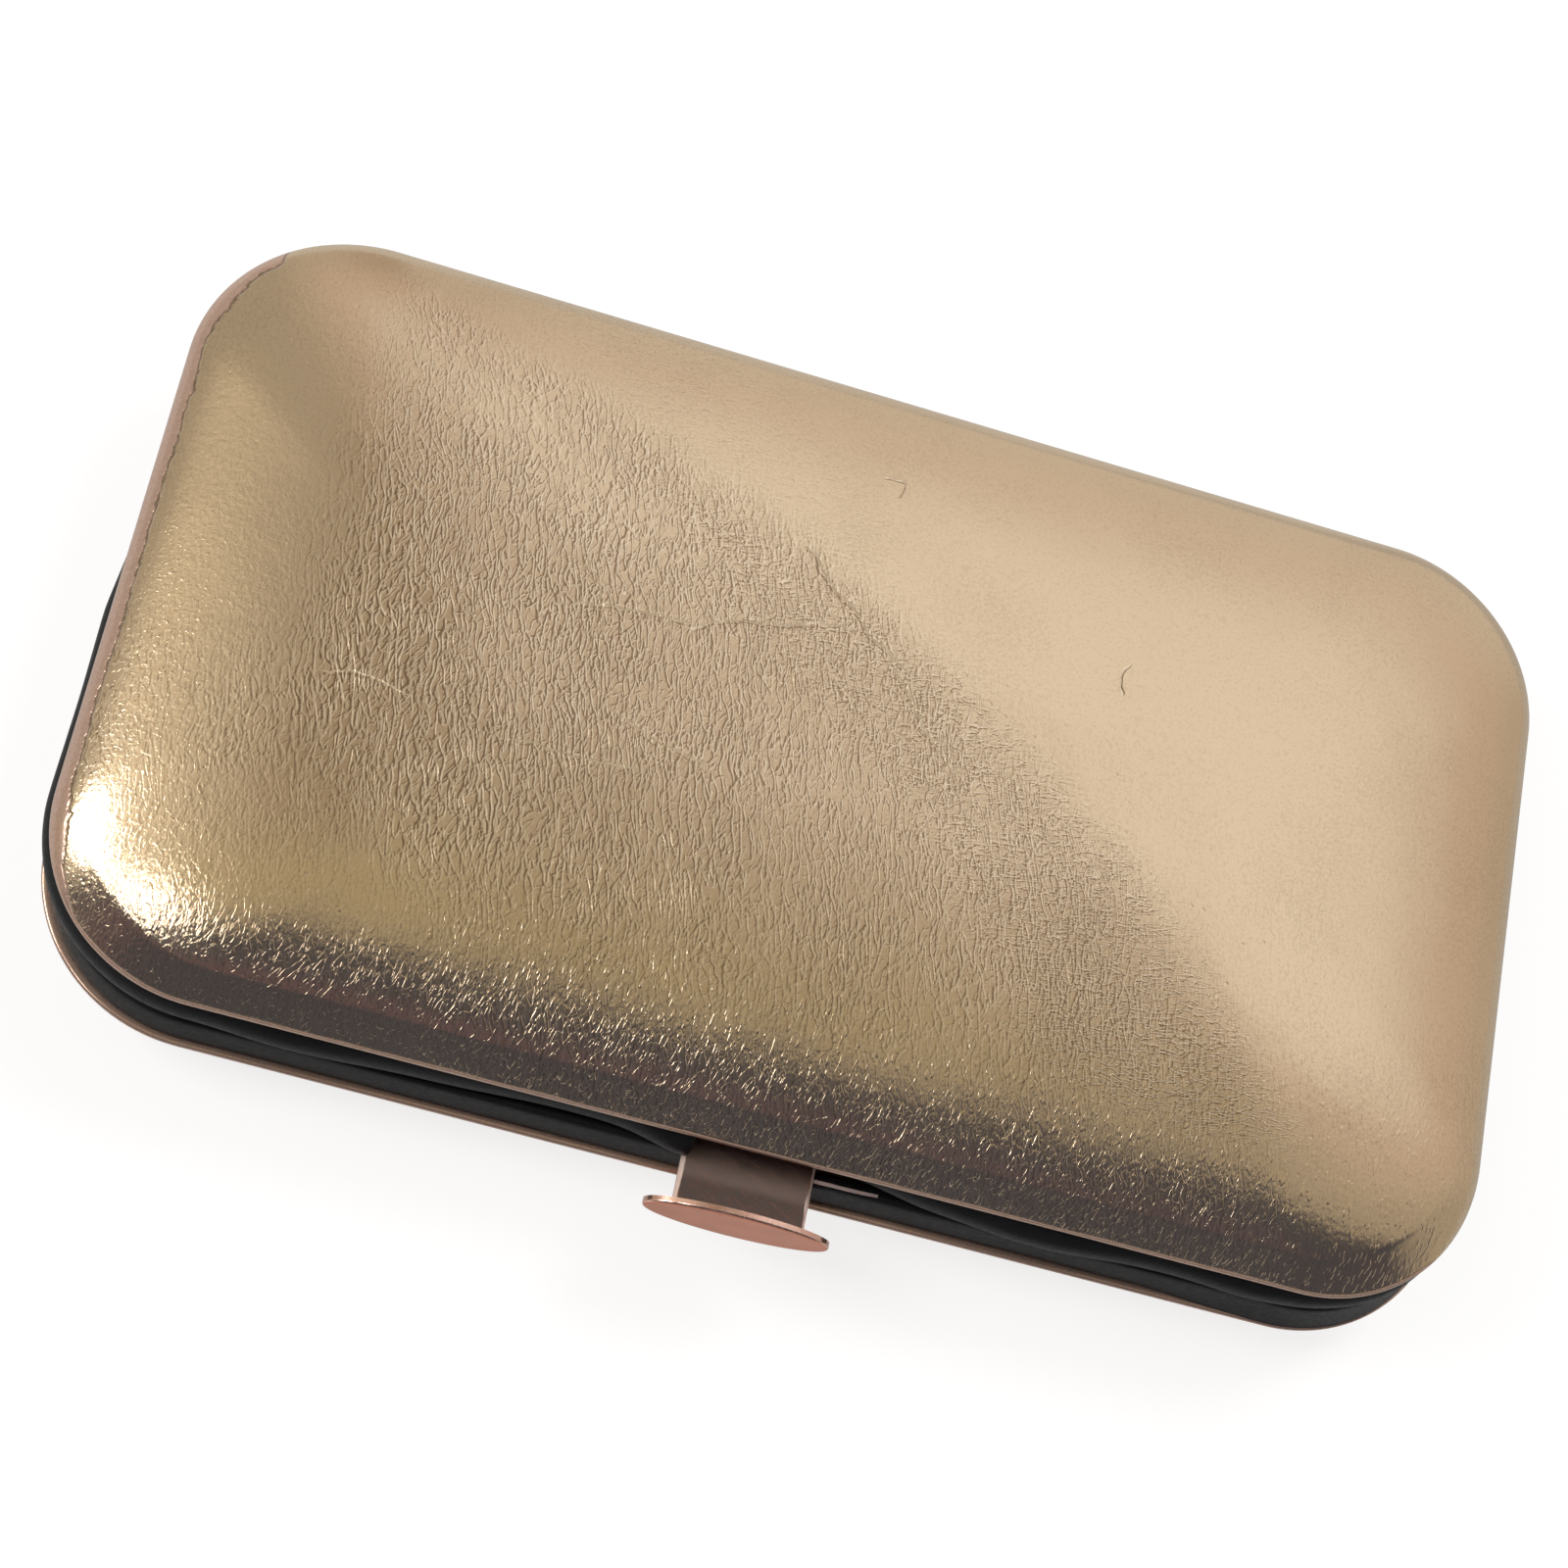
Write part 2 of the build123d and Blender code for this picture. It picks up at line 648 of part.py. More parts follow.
half_tweezer = tweezer_length / 2
place, height = lid_place(tweezer_line, tweezer_depth)
with BuildPart() as tweezer_plan:
    with BuildSketch(Plane(origin=(*place, parting + height))):
        with BuildLine():
            Polyline((-half_tweezer, -tweezer_width / 2), (0, -tweezer_width / 2),
                     (half_tweezer, -tweezer_tip / 2), (half_tweezer, tweezer_tip / 2),
                     (0, tweezer_width / 2), (-half_tweezer, tweezer_width / 2), close=True)
        make_face()
    extrude(amount=tweezer_depth)
root, tip = -half_tweezer, half_tweezer
upper_face = tweezer_depth - tweezer_arm
lower_tip = upper_face - tweezer_gap
arms = {
    "tweezer_upper_arm": ((root, tweezer_depth), (tip, tweezer_depth), (tip, upper_face),
                          (root, upper_face)),
    "tweezer_lower_arm": ((root, upper_face), (root + tweezer_weld, upper_face),
                          (tweezer_bow[0], tweezer_arm), (tweezer_bow[1], tweezer_arm),
                          (tip, lower_tip), (tip, lower_tip - tweezer_arm),
                          (tweezer_bow[1], 0), (tweezer_bow[0], 0),
                          (root + tweezer_weld, upper_face - tweezer_arm),
                          (root, upper_face - tweezer_arm)),
}
for name, points in arms.items():
    with BuildPart() as arm:
        add(profile(points, tweezer_width, place, height))
        add(tweezer_plan.part, mode=Mode.INTERSECT)
    save(arm, name)


def two_ended(name, length, radius, spoon, line, ends):
    """A round rod under the lid's tray with a flat rounded spoon on the ends named."""
    spoon_width, spoon_length, spoon_thickness = spoon
    place, axis_height = lid_place(line, radius)
    bar = length - len(ends) * spoon_length
    start = -length / 2 + (spoon_length if -1 in ends else 0)
    with BuildPart() as rod:
        add(peg((start, place[1], parting + axis_height), (1, 0, 0), bar, radius))
        for end in ends:
            middle = end * (length - spoon_length) / 2
            with BuildSketch(Plane.XY.offset(parting + axis_height - spoon_thickness / 2)):
                with Locations((middle - end * radius, place[1])):
                    SlotOverall(spoon_length + 2 * radius, spoon_width)
            extrude(amount=spoon_thickness)
    save(rod, name)


two_ended("cuticle_pusher", pusher_length, pusher_radius, pusher_spoon, pusher_line, (-1, 1))
two_ended("ear_pick", pick_length, pick_radius, pick_spoon, pick_line, (-1,))

# The elastic bands
lid_loops = (
    (tweezer_line, tweezer_width, tweezer_depth),
    (file_line, handle_width, handle_thickness),
    (pusher_line, 2 * pusher_radius, 2 * pusher_radius),
    (pick_line, 2 * pick_radius, 2 * pick_radius),
)
for end, name in ((-1, "lid_band_left"), (1, "lid_band_right")):
    with BuildPart() as lid_band:
        add(band(end * lid_band_spacing / 2, lid_setback, level("lid", lid_face), -1,
                 lid_loops, band_seat))
    save(lid_band, name)

base_face = level("base", tray_drop["base"])
shank_half = scissor_hub_radius + scissor_band_at / scissor_shank[0] * scissor_shank[1]
scissor_loop = ((0, 2 * shank_half, 2 * scissor_thickness + tray_drop["base"] - scissor_floor_drop),)
with BuildPart() as scissor_band:
    add(band(scissor_place[0] + scissor_band_at, scissor_place[1], base_face, 1, scissor_loop,
             band_seat + recess_clearance))
save(scissor_band, "scissor_band")

clipper_loop = ((0, clipper_width, clipper_height + tray_drop["base"] - clipper_floor_drop),)
with BuildPart() as clipper_band:
    add(band(clipper_place[0] + clipper_band_at, clipper_place[1], base_face, 1, clipper_loop,
             band_seat + recess_clearance))
save(clipper_band, "clipper_band")
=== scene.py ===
import math

import bpy
import numpy as np
from mathutils import Matrix, Vector, noise


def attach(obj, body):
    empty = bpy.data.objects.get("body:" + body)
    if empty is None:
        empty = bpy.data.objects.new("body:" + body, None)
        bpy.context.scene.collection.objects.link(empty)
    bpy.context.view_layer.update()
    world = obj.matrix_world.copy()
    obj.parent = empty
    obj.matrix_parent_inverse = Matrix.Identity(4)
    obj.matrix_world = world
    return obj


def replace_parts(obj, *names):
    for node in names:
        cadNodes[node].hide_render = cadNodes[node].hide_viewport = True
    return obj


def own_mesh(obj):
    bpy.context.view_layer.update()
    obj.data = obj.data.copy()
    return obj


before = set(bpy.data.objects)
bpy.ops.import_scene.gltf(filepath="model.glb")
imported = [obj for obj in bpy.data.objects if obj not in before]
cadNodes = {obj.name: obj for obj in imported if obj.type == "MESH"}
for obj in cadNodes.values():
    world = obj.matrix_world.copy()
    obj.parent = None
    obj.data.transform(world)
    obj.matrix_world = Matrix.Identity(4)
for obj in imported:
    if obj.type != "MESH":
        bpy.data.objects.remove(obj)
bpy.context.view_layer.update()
mm = 0.001
print("frame loaded with", len(cadNodes), "nodes")


class Form(dict):
    # a dictionary whose values are read as form.name
    __getattr__ = dict.__getitem__


# the case's form in millimetres, as the solids have it
caseForm = Form(
    halfLength=70, halfWidth=40.1, corner=16.6, cornerTaper=0.55, crownRise=7.9, crownFlat=28, footInset=27.4,
    parting=11.3933, halfGap=3.9, lidBack=1.5,
    faceDrop=Form(lid=5.6, base=5.2),  # from the parting to the trays' faces
)
outward = {"lid": 1, "base": -1}  # the way from the parting to each half's crown
setBack = {"lid": caseForm.lidBack, "base": 0}
trayFace = {side: caseForm.parting + way * caseForm.faceDrop[side] for side, way in outward.items()}
straightX = 2 * (caseForm.halfLength - caseForm.corner)
straightY = 2 * (caseForm.halfWidth - caseForm.corner)
cornerArc = math.pi / 2 * caseForm.corner
rimRuns = [straightX / 2, cornerArc, straightY, cornerArc, straightX, cornerArc, straightY, cornerArc, straightX / 2]
rimLength = sum(rimRuns)


def rimPoint(u, inset, radius):
    # the point this share of the way round, anticlockwise from the front's middle, and the way outward there
    ends = np.cumsum(rimRuns) / rimLength
    starts = np.concatenate(([0], ends[:-1]))
    run = np.clip(np.searchsorted(ends, u, side="right"), 0, 8)
    t = np.clip((u - starts[run]) / (ends[run] - starts[run]), 0, 1)
    flatX = caseForm.halfLength - inset - radius
    flatY = caseForm.halfWidth - inset - radius
    centreX = np.choose(run, [
        t * flatX, flatX, flatX, flatX, flatX * (1 - 2 * t), -flatX, -flatX, -flatX, flatX * (t - 1)])
    centreY = np.choose(run, [
        -flatY, -flatY, flatY * (2 * t - 1), flatY, flatY, flatY, flatY * (1 - 2 * t), -flatY, -flatY])
    angle = math.pi / 2 * (run // 2 - 1 + np.where(run % 2 == 1, t, 0))
    outX, outY = np.cos(angle), np.sin(angle)
    return centreX + radius * outX, centreY + radius * outY, outX, outY


def rimEdge(u):
    return rimPoint(u, 0 * u, caseForm.corner + 0 * u)


def atFront(x):
    # the share of the way round where the front rim has this x
    return (x / rimLength) % 1


def atBack(x):
    return (straightX / 2 + cornerArc + straightY + cornerArc + straightX / 2 - x) / rimLength


def lumps(x, y, size, seed):
    # smooth random bumps of about this size, from -1 to 1
    return np.array([noise.noise(Vector((a / size, b / size, seed))) for a, b in zip(x, y)])


def share(value, reach):
    # from 0 to 1 while the value goes from 0 to the reach
    return np.clip(value / reach, 0, 1)


def pick(*pieces):
    # these alone are selected, and the first is active
    bpy.ops.object.select_all(action="DESELECT")
    for piece in pieces:
        piece.select_set(True)
    bpy.context.view_layer.objects.active = pieces[0]


def wholeMesh():
    bpy.ops.object.mode_set(mode="EDIT")
    bpy.ops.mesh.select_all(action="SELECT")


def primitive(kind, name, **settings):
    getattr(bpy.ops.mesh, "primitive_" + kind + "_add")(**settings)
    piece = bpy.context.object
    piece.name = piece.data.name = name
    return piece


def addObject(name, data):
    piece = bpy.data.objects.new(name, data)
    bpy.context.scene.collection.objects.link(piece)
    return piece


def dress(piece, material):
    piece.data.materials.append(material)


def placesOf(piece):
    places = np.empty(len(piece.data.vertices) * 3)
    piece.data.vertices.foreach_get("co", places)
    return places.reshape(-1, 3)


def gridPiece(name, columns, rows):
    # a grid, with each vertex's share of the way across and its row
    piece = primitive("grid", name, x_subdivisions=columns, y_subdivisions=rows, size=1)
    places = placesOf(piece)
    return piece, places[:, 0] + 0.5, np.rint((places[:, 1] + 0.5) * rows).astype(int)


def shapeGrid(piece, x, y, z, wrapX=None, wrapY=None):
    # places in millimetres, and a UV map that follows the surface
    piece.data.vertices.foreach_set("co", (np.column_stack((x, y, z)) * mm).ravel())
    if wrapX is not None:
        corners = np.empty(len(piece.data.loops), dtype=int)
        piece.data.loops.foreach_get("vertex_index", corners)
        piece.data.uv_layers[0].data.foreach_set("uv", np.column_stack((wrapX[corners], wrapY[corners])).ravel())
    piece.data.update()


def closeSkin(piece, caps=False):
    pick(piece)
    wholeMesh()
    bpy.ops.mesh.remove_doubles(threshold=1e-7)
    if caps:
        bpy.ops.mesh.fill_holes(sides=0)
    bpy.ops.mesh.select_all(action="SELECT")
    bpy.ops.mesh.normals_make_consistent(inside=False)
    bpy.ops.object.mode_set(mode="OBJECT")
    bpy.ops.object.shade_smooth()


def applyModifier(piece, kind, **settings):
    modifier = piece.modifiers.new(kind.title(), kind)
    for name, value in settings.items():
        setattr(modifier, name, value)
    bpy.context.view_layer.objects.active = piece
    bpy.ops.object.modifier_apply(modifier=modifier.name)


# node tools for the materials
def paint(name):
    # a new material, its shader and the place in millimetres
    material = bpy.data.materials.new(name)
    material.use_nodes = True
    tree = material.node_tree
    tree.nodes.clear()
    shader = put(tree, "BsdfPrincipled")
    plug(shader.outputs[0], put(tree, "OutputMaterial").inputs[0])
    place = put(tree, "TexCoord").outputs["Object"]
    return material, shader, calcVector("SCALE", place, scale=1000)


def plug(value, socket):
    if isinstance(value, bpy.types.NodeSocket):
        socket.id_data.links.new(value, socket)
    elif socket.type == "RGBA":
        socket.default_value = (*value, 1)
    else:
        socket.default_value = value


def put(tree, kind, inputs=None, **settings):
    node = tree.nodes.new("ShaderNode" + kind)
    for name, value in settings.items():
        setattr(node, name, value)
    for name, value in (inputs or {}).items():
        plug(value, node.inputs[name])
    return node


def homeOf(values):
    return next(value.id_data for value in values if isinstance(value, bpy.types.NodeSocket))


def calc(operation, *values, clamp=False):
    node = put(homeOf(values), "Math", dict(enumerate(values)), operation=operation, use_clamp=clamp)
    return node.outputs[0]


def plus(first, *others):
    for other in others:
        first = calc("ADD", first, other)
    return first


def times(first, *others):
    for other in others:
        first = calc("MULTIPLY", first, other)
    return first


def minus(first, second):
    return calc("SUBTRACT", first, second)


def calcVector(operation, *values, scale=None):
    node = put(homeOf(values), "VectorMath", dict(enumerate(values)), operation=operation)
    if scale is not None:
        plug(scale, node.inputs["Scale"])
    return node.outputs["Value" if operation in ("DOT_PRODUCT", "LENGTH") else "Vector"]


def fade(value, low, high, toLow=0, toHigh=1):
    # an eased step from toLow, where the value is low, to toHigh
    inputs = dict(enumerate((value, low, high, toLow, toHigh)))
    return put(value.id_data, "MapRange", inputs, interpolation_type="SMOOTHSTEP").outputs[0]


def peak(value, reach, top=1):
    # the top where the value is 0, and nothing beyond the reach on either side
    return fade(calc("ABSOLUTE", value), 0, reach, top, 0)


def blend(factor, first, second):
    return put(factor.id_data, "Mix", {0: factor, 6: first, 7: second}, data_type="RGBA").outputs[2]


def coordinates(vector, kind):
    return put(vector.id_data, "TexCoord").outputs[kind]


def axes(vector):
    return put(vector.id_data, "SeparateXYZ", {"Vector": vector}).outputs[:3]


def turned(vector, angle, scale, centre=(0, 0, 0)):
    # turned about Z and stretched, about a centre
    moved = calcVector("SUBTRACT", vector, centre)
    turn = {"Vector": moved, "Rotation": (0, 0, math.radians(angle))}
    return calcVector("MULTIPLY", put(vector.id_data, "Mapping", turn).outputs[0], scale)


def cloud(vector, scale, detail=2, roughness=0.5, kind="Fac"):
    inputs = {"Vector": vector, "Scale": scale, "Detail": detail, "Roughness": roughness}
    return put(vector.id_data, "TexNoise", inputs).outputs[kind]


def sway(vector, *noiseForm):
    # a random direction, up to half a unit each way
    return calcVector("SUBTRACT", cloud(vector, *noiseForm, kind="Color"), (0.5, 0.5, 0.5))


def bump(shader, height):
    # the height is in millimetres
    node = put(shader.id_data, "Bump", {"Height": height, "Strength": 1, "Distance": mm})
    plug(node.outputs[0], shader.inputs["Normal"])


def tune(shader, colour, roughness, metallic=0, others=(), specular=0.5):
    values = {"Base Color": colour, "Roughness": roughness, "Metallic": metallic, "Specular IOR Level": specular}
    for name, value in {**values, **dict(others)}.items():
        plug(value, shader.inputs[name])


# gold leather; a step is where along x, y or a slant it starts and ends, and its value before and after
leatherLook = Form(
    # the third gold is a painted highlight for the wrinkles' lit sides, and the fourth takes their painted shade as
    # well as random darker tone
    gold=(0.84, 0.655, 0.445), goldPale=(0.84, 0.65, 0.445), goldRubbed=(1, 0.85, 0.65),
    goldDeep=(0.34, 0.235, 0.145), turnedEdge=(0.66, 0.46, 0.36), turnedDeep=(0.56, 0.38, 0.29),
    # the crease tone is a painted shadow along the turned edge's crease
    creaseTone=(0.2, 0.125, 0.085), turnedMetal=0.55, coat={"Coat Weight": 0.12, "Coat Roughness": 0.22},
    # scale per millimetre, detail and roughness of each noise
    driftNoise=(0.11, 1.5), jitterNoise=(0.55, 1.5), patchNoise=(0.13, 2), toneNoise=(0.07, 2),
    grainNoise=(3.2, 2.5, 0.6), fineNoise=(2.4, 1.5), coarseNoise=(1.1, 2.5, 0.6), sparkNoise=(2.1, 1.5),
    edgeNoise=(0.8, 2.5, 0.6), fleckNoise=(1, 1), lineNoise=(1, 1.2, 0.5),
    drift=2.2, creaseDrift=2.6, creaseJitter=1.1,  # how far the patterns and the long creases wander
    # the crumpled part
    slant=(0.75, 0.66), slantBend=(9, -4, 0, 5), backSlant=0.39,
    rightStep=(5, 17, 1, 0.1), backStep=(13.5, 20, 1, 0.08), frontStep=(-32, -16, 0.4, 1),
    leftStep=(-56, -45), leftRest=(2, -12, 0.1, 0.48), leftTurn=8, leftLean=0.8,
    heartShift=(37, 2, 0), heartScale=(0.033, 0.042, 0), heartStep=(0.3, 1.15, 1.7, 0.9),
    patchStep=(0.32, 0.62, 0.65, 1),
    # the cross-grained diagonal
    crossRight=(18, 11), crossLeft=(-8, 2), crossFront=(-30, -24), crossBack=(11, 16, 1, 0.2),
    # three patterns of wrinkles: the width of their lines, and the shift that sets which side of each line gets
    # painted shade and which a painted highlight
    ripple=Form(turn=-12, scale=(1.75, 0.36, 1), start=(0, 0, 0), width=0.07, shift=(0.15, 0, 0)),
    finer=Form(turn=18, scale=(1.7, 0.5, 1), start=(40, 7, 3), width=0.035, shift=(0.13, 0, 0)),
    level=Form(turn=-8, scale=(0.6, 2.2, 1), start=(0, 0, 0), width=0.045, shift=(0, 0.17, 0)),
    finerDepth=0.75, wrinkleDepth=0.012, crossDepth=0.009, foldStep=(-28, -33, 0, 0.01),
    # flecks, pits, grain, bumps and sparks, by their height
    fleckTurn=9, fleckScale=(3.2, 0.75, 1), fleckStep=(0.56, 0.7, 0, 0.019),
    fleckFront=(-12, -30, 0.12, 1), fleckRim=(-33, -38, 1, 1.9), fleckLeft=(-46, -18, 0.35, 1),
    pitScale=0.5, pitStep=(0.04, 0.13, -0.012, 0), grainDepth=0.003, fineDepth=0.007,
    coarseLeft=(-38, -58, 0, 0.022), coarseFront=(-22, -32, 0, 0.0176),
    sparkStep=(0.52, 0.64, 0, 0.007), sparkLeft=(-50, -57), sparkFront=(14, 4),
    # the turned edge, over the UV map's rise
    wander=0.035, wanderLeft=(-60, -67), bodyStep=(0.094, 0.104), creaseReach=0.011,
    creaseDepth=0.05, creaseShade=0.75, edgeRelief=0.15, edgeTones=(0.3, 0.7),
    # how strongly the painted shade and the painted highlight on the wrinkles' sides colour the gold
    finerShade=0.7, crossShade=0.9, longShade=2.4, wear=1.35, rubbed=1.5,
    toneMiddle=0.42, toneShare=0.4, speckle=0.8, roughShare=(0.6, 0.5), roughStep=(0.1, 1, 0.14, 0.25),
    # long creases: from x, y to x, y, how far each bows to its left, width, depth
    creases=(
        (-30, 5.6, -17, 7.4, 0.5, 0.3, 0.022),
        (-19, 6.4, -1.5, 12, 0.9, 0.32, 0.026),
        (-29, 12.5, -25.5, 2.6, 0.5, 0.28, 0.016),
        (-8.5, 20, 4, 8.4, -0.6, 0.34, 0.026),
        (1, 10.5, 10.5, 0.4, -0.7, 0.3, 0.022),
        (-33, -9, -18, -8.9, 0.8, 0.32, 0.018),
        (-24, -2.6, -12.5, -6, -0.5, 0.3, 0.016),
        (-50, -6.8, -40.5, -7.2, 0.5, 0.3, 0.014),
        (24.8, 12.8, 25.3, 17.2, 0.4, 0.2, 0.022),
        (-1.9, 29.8, 0.6, 29.2, 0.2, 0.2, 0.018),
        (0.5, 29.2, -0.3, 27.2, 0.1, 0.2, 0.018),
    ),
    longDepth=1.3, longRidge=0.4, longDark=0.3, longEnds=(0.7, 1, 1, 0),
)
skinForm = Form(
    around=480, innerRows=8, domeRows=90, rowPower=1.25, thickness=0.7, roll=0.2,
    easeReach=6.1, easeRise=0.19,  # the dome eases over into the flat crown
    foot=((0.45, 0.2, 0.06), (0, 0, 0.06)),  # the rows under the rim: how far in and how high
    rimWall=0.42, rimSlope=0.9,  # in front: a low upright wall, then a slope that runs into the crown
    frontFrom=0.25, frontEase=0.45, leftFrom=0.35, leftEase=0.35, cornerLimit=0.96,
    bead=0.05, crease=Form(front=0.95, left=2.7),  # from the rim to the turned edge's crease
    creaseAt=0.1, plainAt=0.25,  # the crease in the UV map, and how far beyond it plain edges start
    creaseWave=0.12, waveSize=4.5, sagFrom=3, baseSag=0.9, sag=0.05, sagSize=11, sagLevel=0.4,
    dimple=0.012, dimpleSize=3,
)


def longCrease(place, crease, look):
    # a shallow groove along a bowed line, which fades out at both ends, with painted shade along one side and a
    # painted highlight along the other
    x0, y0, x1, y1, bow, width, depth = crease
    angle = -math.degrees(math.atan2(y1 - y0, x1 - x0))
    x, y, _ = axes(turned(place, angle, (1, 1, 1), ((x0 + x1) / 2, (y0 + y1) / 2, 0)))
    along = calc("DIVIDE", x, math.hypot(x1 - x0, y1 - y0) / 2)
    offset = minus(y, times(minus(1, times(along, along)), bow))
    ridge = peak(minus(calc("ABSOLUTE", offset), width), width, depth * look.longRidge)
    dark = times(peak(plus(offset, width / 2), width / 2), look.longDark)
    ends = fade(calc("ABSOLUTE", along), *look.longEnds)
    pale = peak(minus(offset, width / 2), width / 2)
    return times(minus(ridge, peak(offset, width, depth)), ends), times(minus(dark, pale), ends)


def wormLines(place, pattern, look):
    # thin lines, where a noise crosses its middle value, with painted shade on one side and a painted highlight on
    # the other
    vector = turned(place, pattern.turn, pattern.scale, pattern.start)
    sides = []
    for way in (-1, 1):
        moved = calcVector("ADD", vector, tuple(way * step for step in pattern.shift))
        sides.append(peak(minus(cloud(moved, *look.lineNoise), 0.5), pattern.width))
    return sides[0], minus(sides[1], sides[0])


def leatherZones(place, look):
    # crumpled left of the middle, cross-grained along a diagonal, smooth at the right and the back
    x, y, _ = axes(place)
    slant = minus(plus(times(x, look.slant[0]), times(y, look.slant[1])), fade(y, *look.slantBend))
    backward = plus(times(x, look.backSlant), y)
    spread = times(fade(slant, *look.rightStep), fade(backward, *look.backStep))
    inFront = times(calc("MINIMUM", plus(y, look.leftTurn), 0), look.leftLean)
    left = fade(plus(x, inFront), *look.leftStep, fade(y, *look.leftRest), 1)
    crossed = times(fade(slant, *look.crossRight), fade(slant, *look.crossLeft),
                    fade(y, *look.crossFront), fade(backward, *look.crossBack))
    return spread, times(spread, left, fade(y, *look.frontStep)), crossed


def leatherGrain(flat, x, y, grain, spread, look):
    # flecks, mostly in front, pits, fine grain all over, and coarser bumps and sparks on the left slope
    fleck = fade(cloud(turned(flat, look.fleckTurn, look.fleckScale), *look.fleckNoise), *look.fleckStep)
    fleck = times(fleck, fade(y, *look.fleckFront), fade(y, *look.fleckRim), fade(x, *look.fleckLeft))
    pits = put(flat.id_data, "TexVoronoi", {"Vector": flat, "Scale": look.pitScale, "Randomness": 1})
    pit = fade(pits.outputs["Distance"], *look.pitStep)
    fine = times(cloud(flat, *look.fineNoise), look.fineDepth)
    slopes = calc("MAXIMUM", fade(x, *look.coarseLeft), fade(y, *look.coarseFront))
    coarse = times(cloud(flat, *look.coarseNoise), slopes)
    spark = fade(cloud(flat, *look.sparkNoise), *look.sparkStep)
    spark = times(spark, fade(x, *look.sparkLeft), fade(y, *look.sparkFront))
    return plus(times(grain, spread, look.grainDepth), fleck, pit, fine, coarse, spark)


def goldLeather(name, look, creased):
    material, shader, flat = paint(name)
    drift = sway(flat, *look.driftNoise)
    place = calcVector("ADD", flat, calcVector("SCALE", drift, scale=look.drift))
    x, y, _ = axes(place)
    spread, crumpled, crossed = leatherZones(place, look)
    wrinkled = times(crumpled, fade(cloud(flat, *look.patchNoise), *look.patchStep))
    grain = cloud(flat, *look.grainNoise)
    (ripple, rippleShading), (finer, finerShading), (level, levelShading) = (
        wormLines(place, look[pattern], look) for pattern in ("ripple", "finer", "level"))
    valley = calc("MAXIMUM", ripple, times(finer, look.finerDepth))
    fold = times(valley, fade(y, *look.foldStep), spread)
    height = minus(times(valley, wrinkled, -look.wrinkleDepth), times(level, crossed, look.crossDepth))
    height = plus(minus(height, fold), leatherGrain(flat, x, y, grain, spread, look))

    # the wrinkles' sides get painted shade and painted highlights, most of all where the leather is most crumpled,
    # and the long creases add the same along their sides
    middle = calcVector("MULTIPLY", calcVector("ADD", place, look.heartShift), look.heartScale)
    heart = fade(calcVector("LENGTH", middle), *look.heartStep)
    lean = times(plus(rippleShading, times(finerShading, look.finerShade)), wrinkled, heart)
    lean = plus(lean, times(levelShading, crossed, look.crossShade))
    wavy = calcVector("ADD", flat, calcVector("SCALE", drift, scale=look.creaseDrift))
    wavy = calcVector("ADD", wavy, calcVector("SCALE", sway(flat, *look.jitterNoise), scale=look.creaseJitter))
    for crease in look.creases if creased else ():
        groove, side = longCrease(wavy, crease, look)
        height = plus(height, times(groove, look.longDepth))
        lean = plus(lean, times(side, look.longShade))

    # the turned edge, with a painted shadow along its crease
    rise = axes(coordinates(flat, "UV"))[1]
    wander = times(minus(cloud(flat, *look.edgeNoise), 0.5), look.wander, fade(x, *look.wanderLeft))
    rise = plus(rise, wander)
    body = fade(rise, *look.bodyStep)
    crease = peak(minus(rise, skinForm.creaseAt), look.creaseReach)
    height = times(height, plus(times(body, 1 - look.edgeRelief), look.edgeRelief))
    bump(shader, minus(height, times(crease, look.creaseDepth)))

    # random darker blotches over the skin
    blotches = times(minus(cloud(flat, *look.toneNoise), look.toneMiddle), look.toneShare)
    # the wrinkles' painted shade, the random blotches and a fine speckle darken the gold
    shadeAndTone = calc("ADD", times(calc("MAXIMUM", lean, 0), look.wear), blotches, clamp=True)
    shadeAndTone = calc("ADD", shadeAndTone, times(minus(grain, 0.5), look.speckle), clamp=True)
    # a painted highlight on the wrinkles' lit sides
    rubbed = calc("MULTIPLY", calc("MAXIMUM", times(lean, -1), 0), look.rubbed, clamp=True)
    pale = blend(rubbed, blend(crumpled, look.gold, look.goldPale), look.goldRubbed)
    edge = blend(fade(grain, *look.edgeTones), look.turnedEdge, look.turnedDeep)
    skin = blend(body, edge, blend(shadeAndTone, pale, look.goldDeep))
    rough = plus(times(crumpled, look.roughShare[0]), times(grain, look.roughShare[1]))
    # a painted shadow darkens the turned edge's crease
    tune(shader, blend(times(crease, look.creaseShade), skin, look.creaseTone),
         fade(rough, *look.roughStep), fade(body, 0, 1, look.turnedMetal, 1), look.coat)
    return material


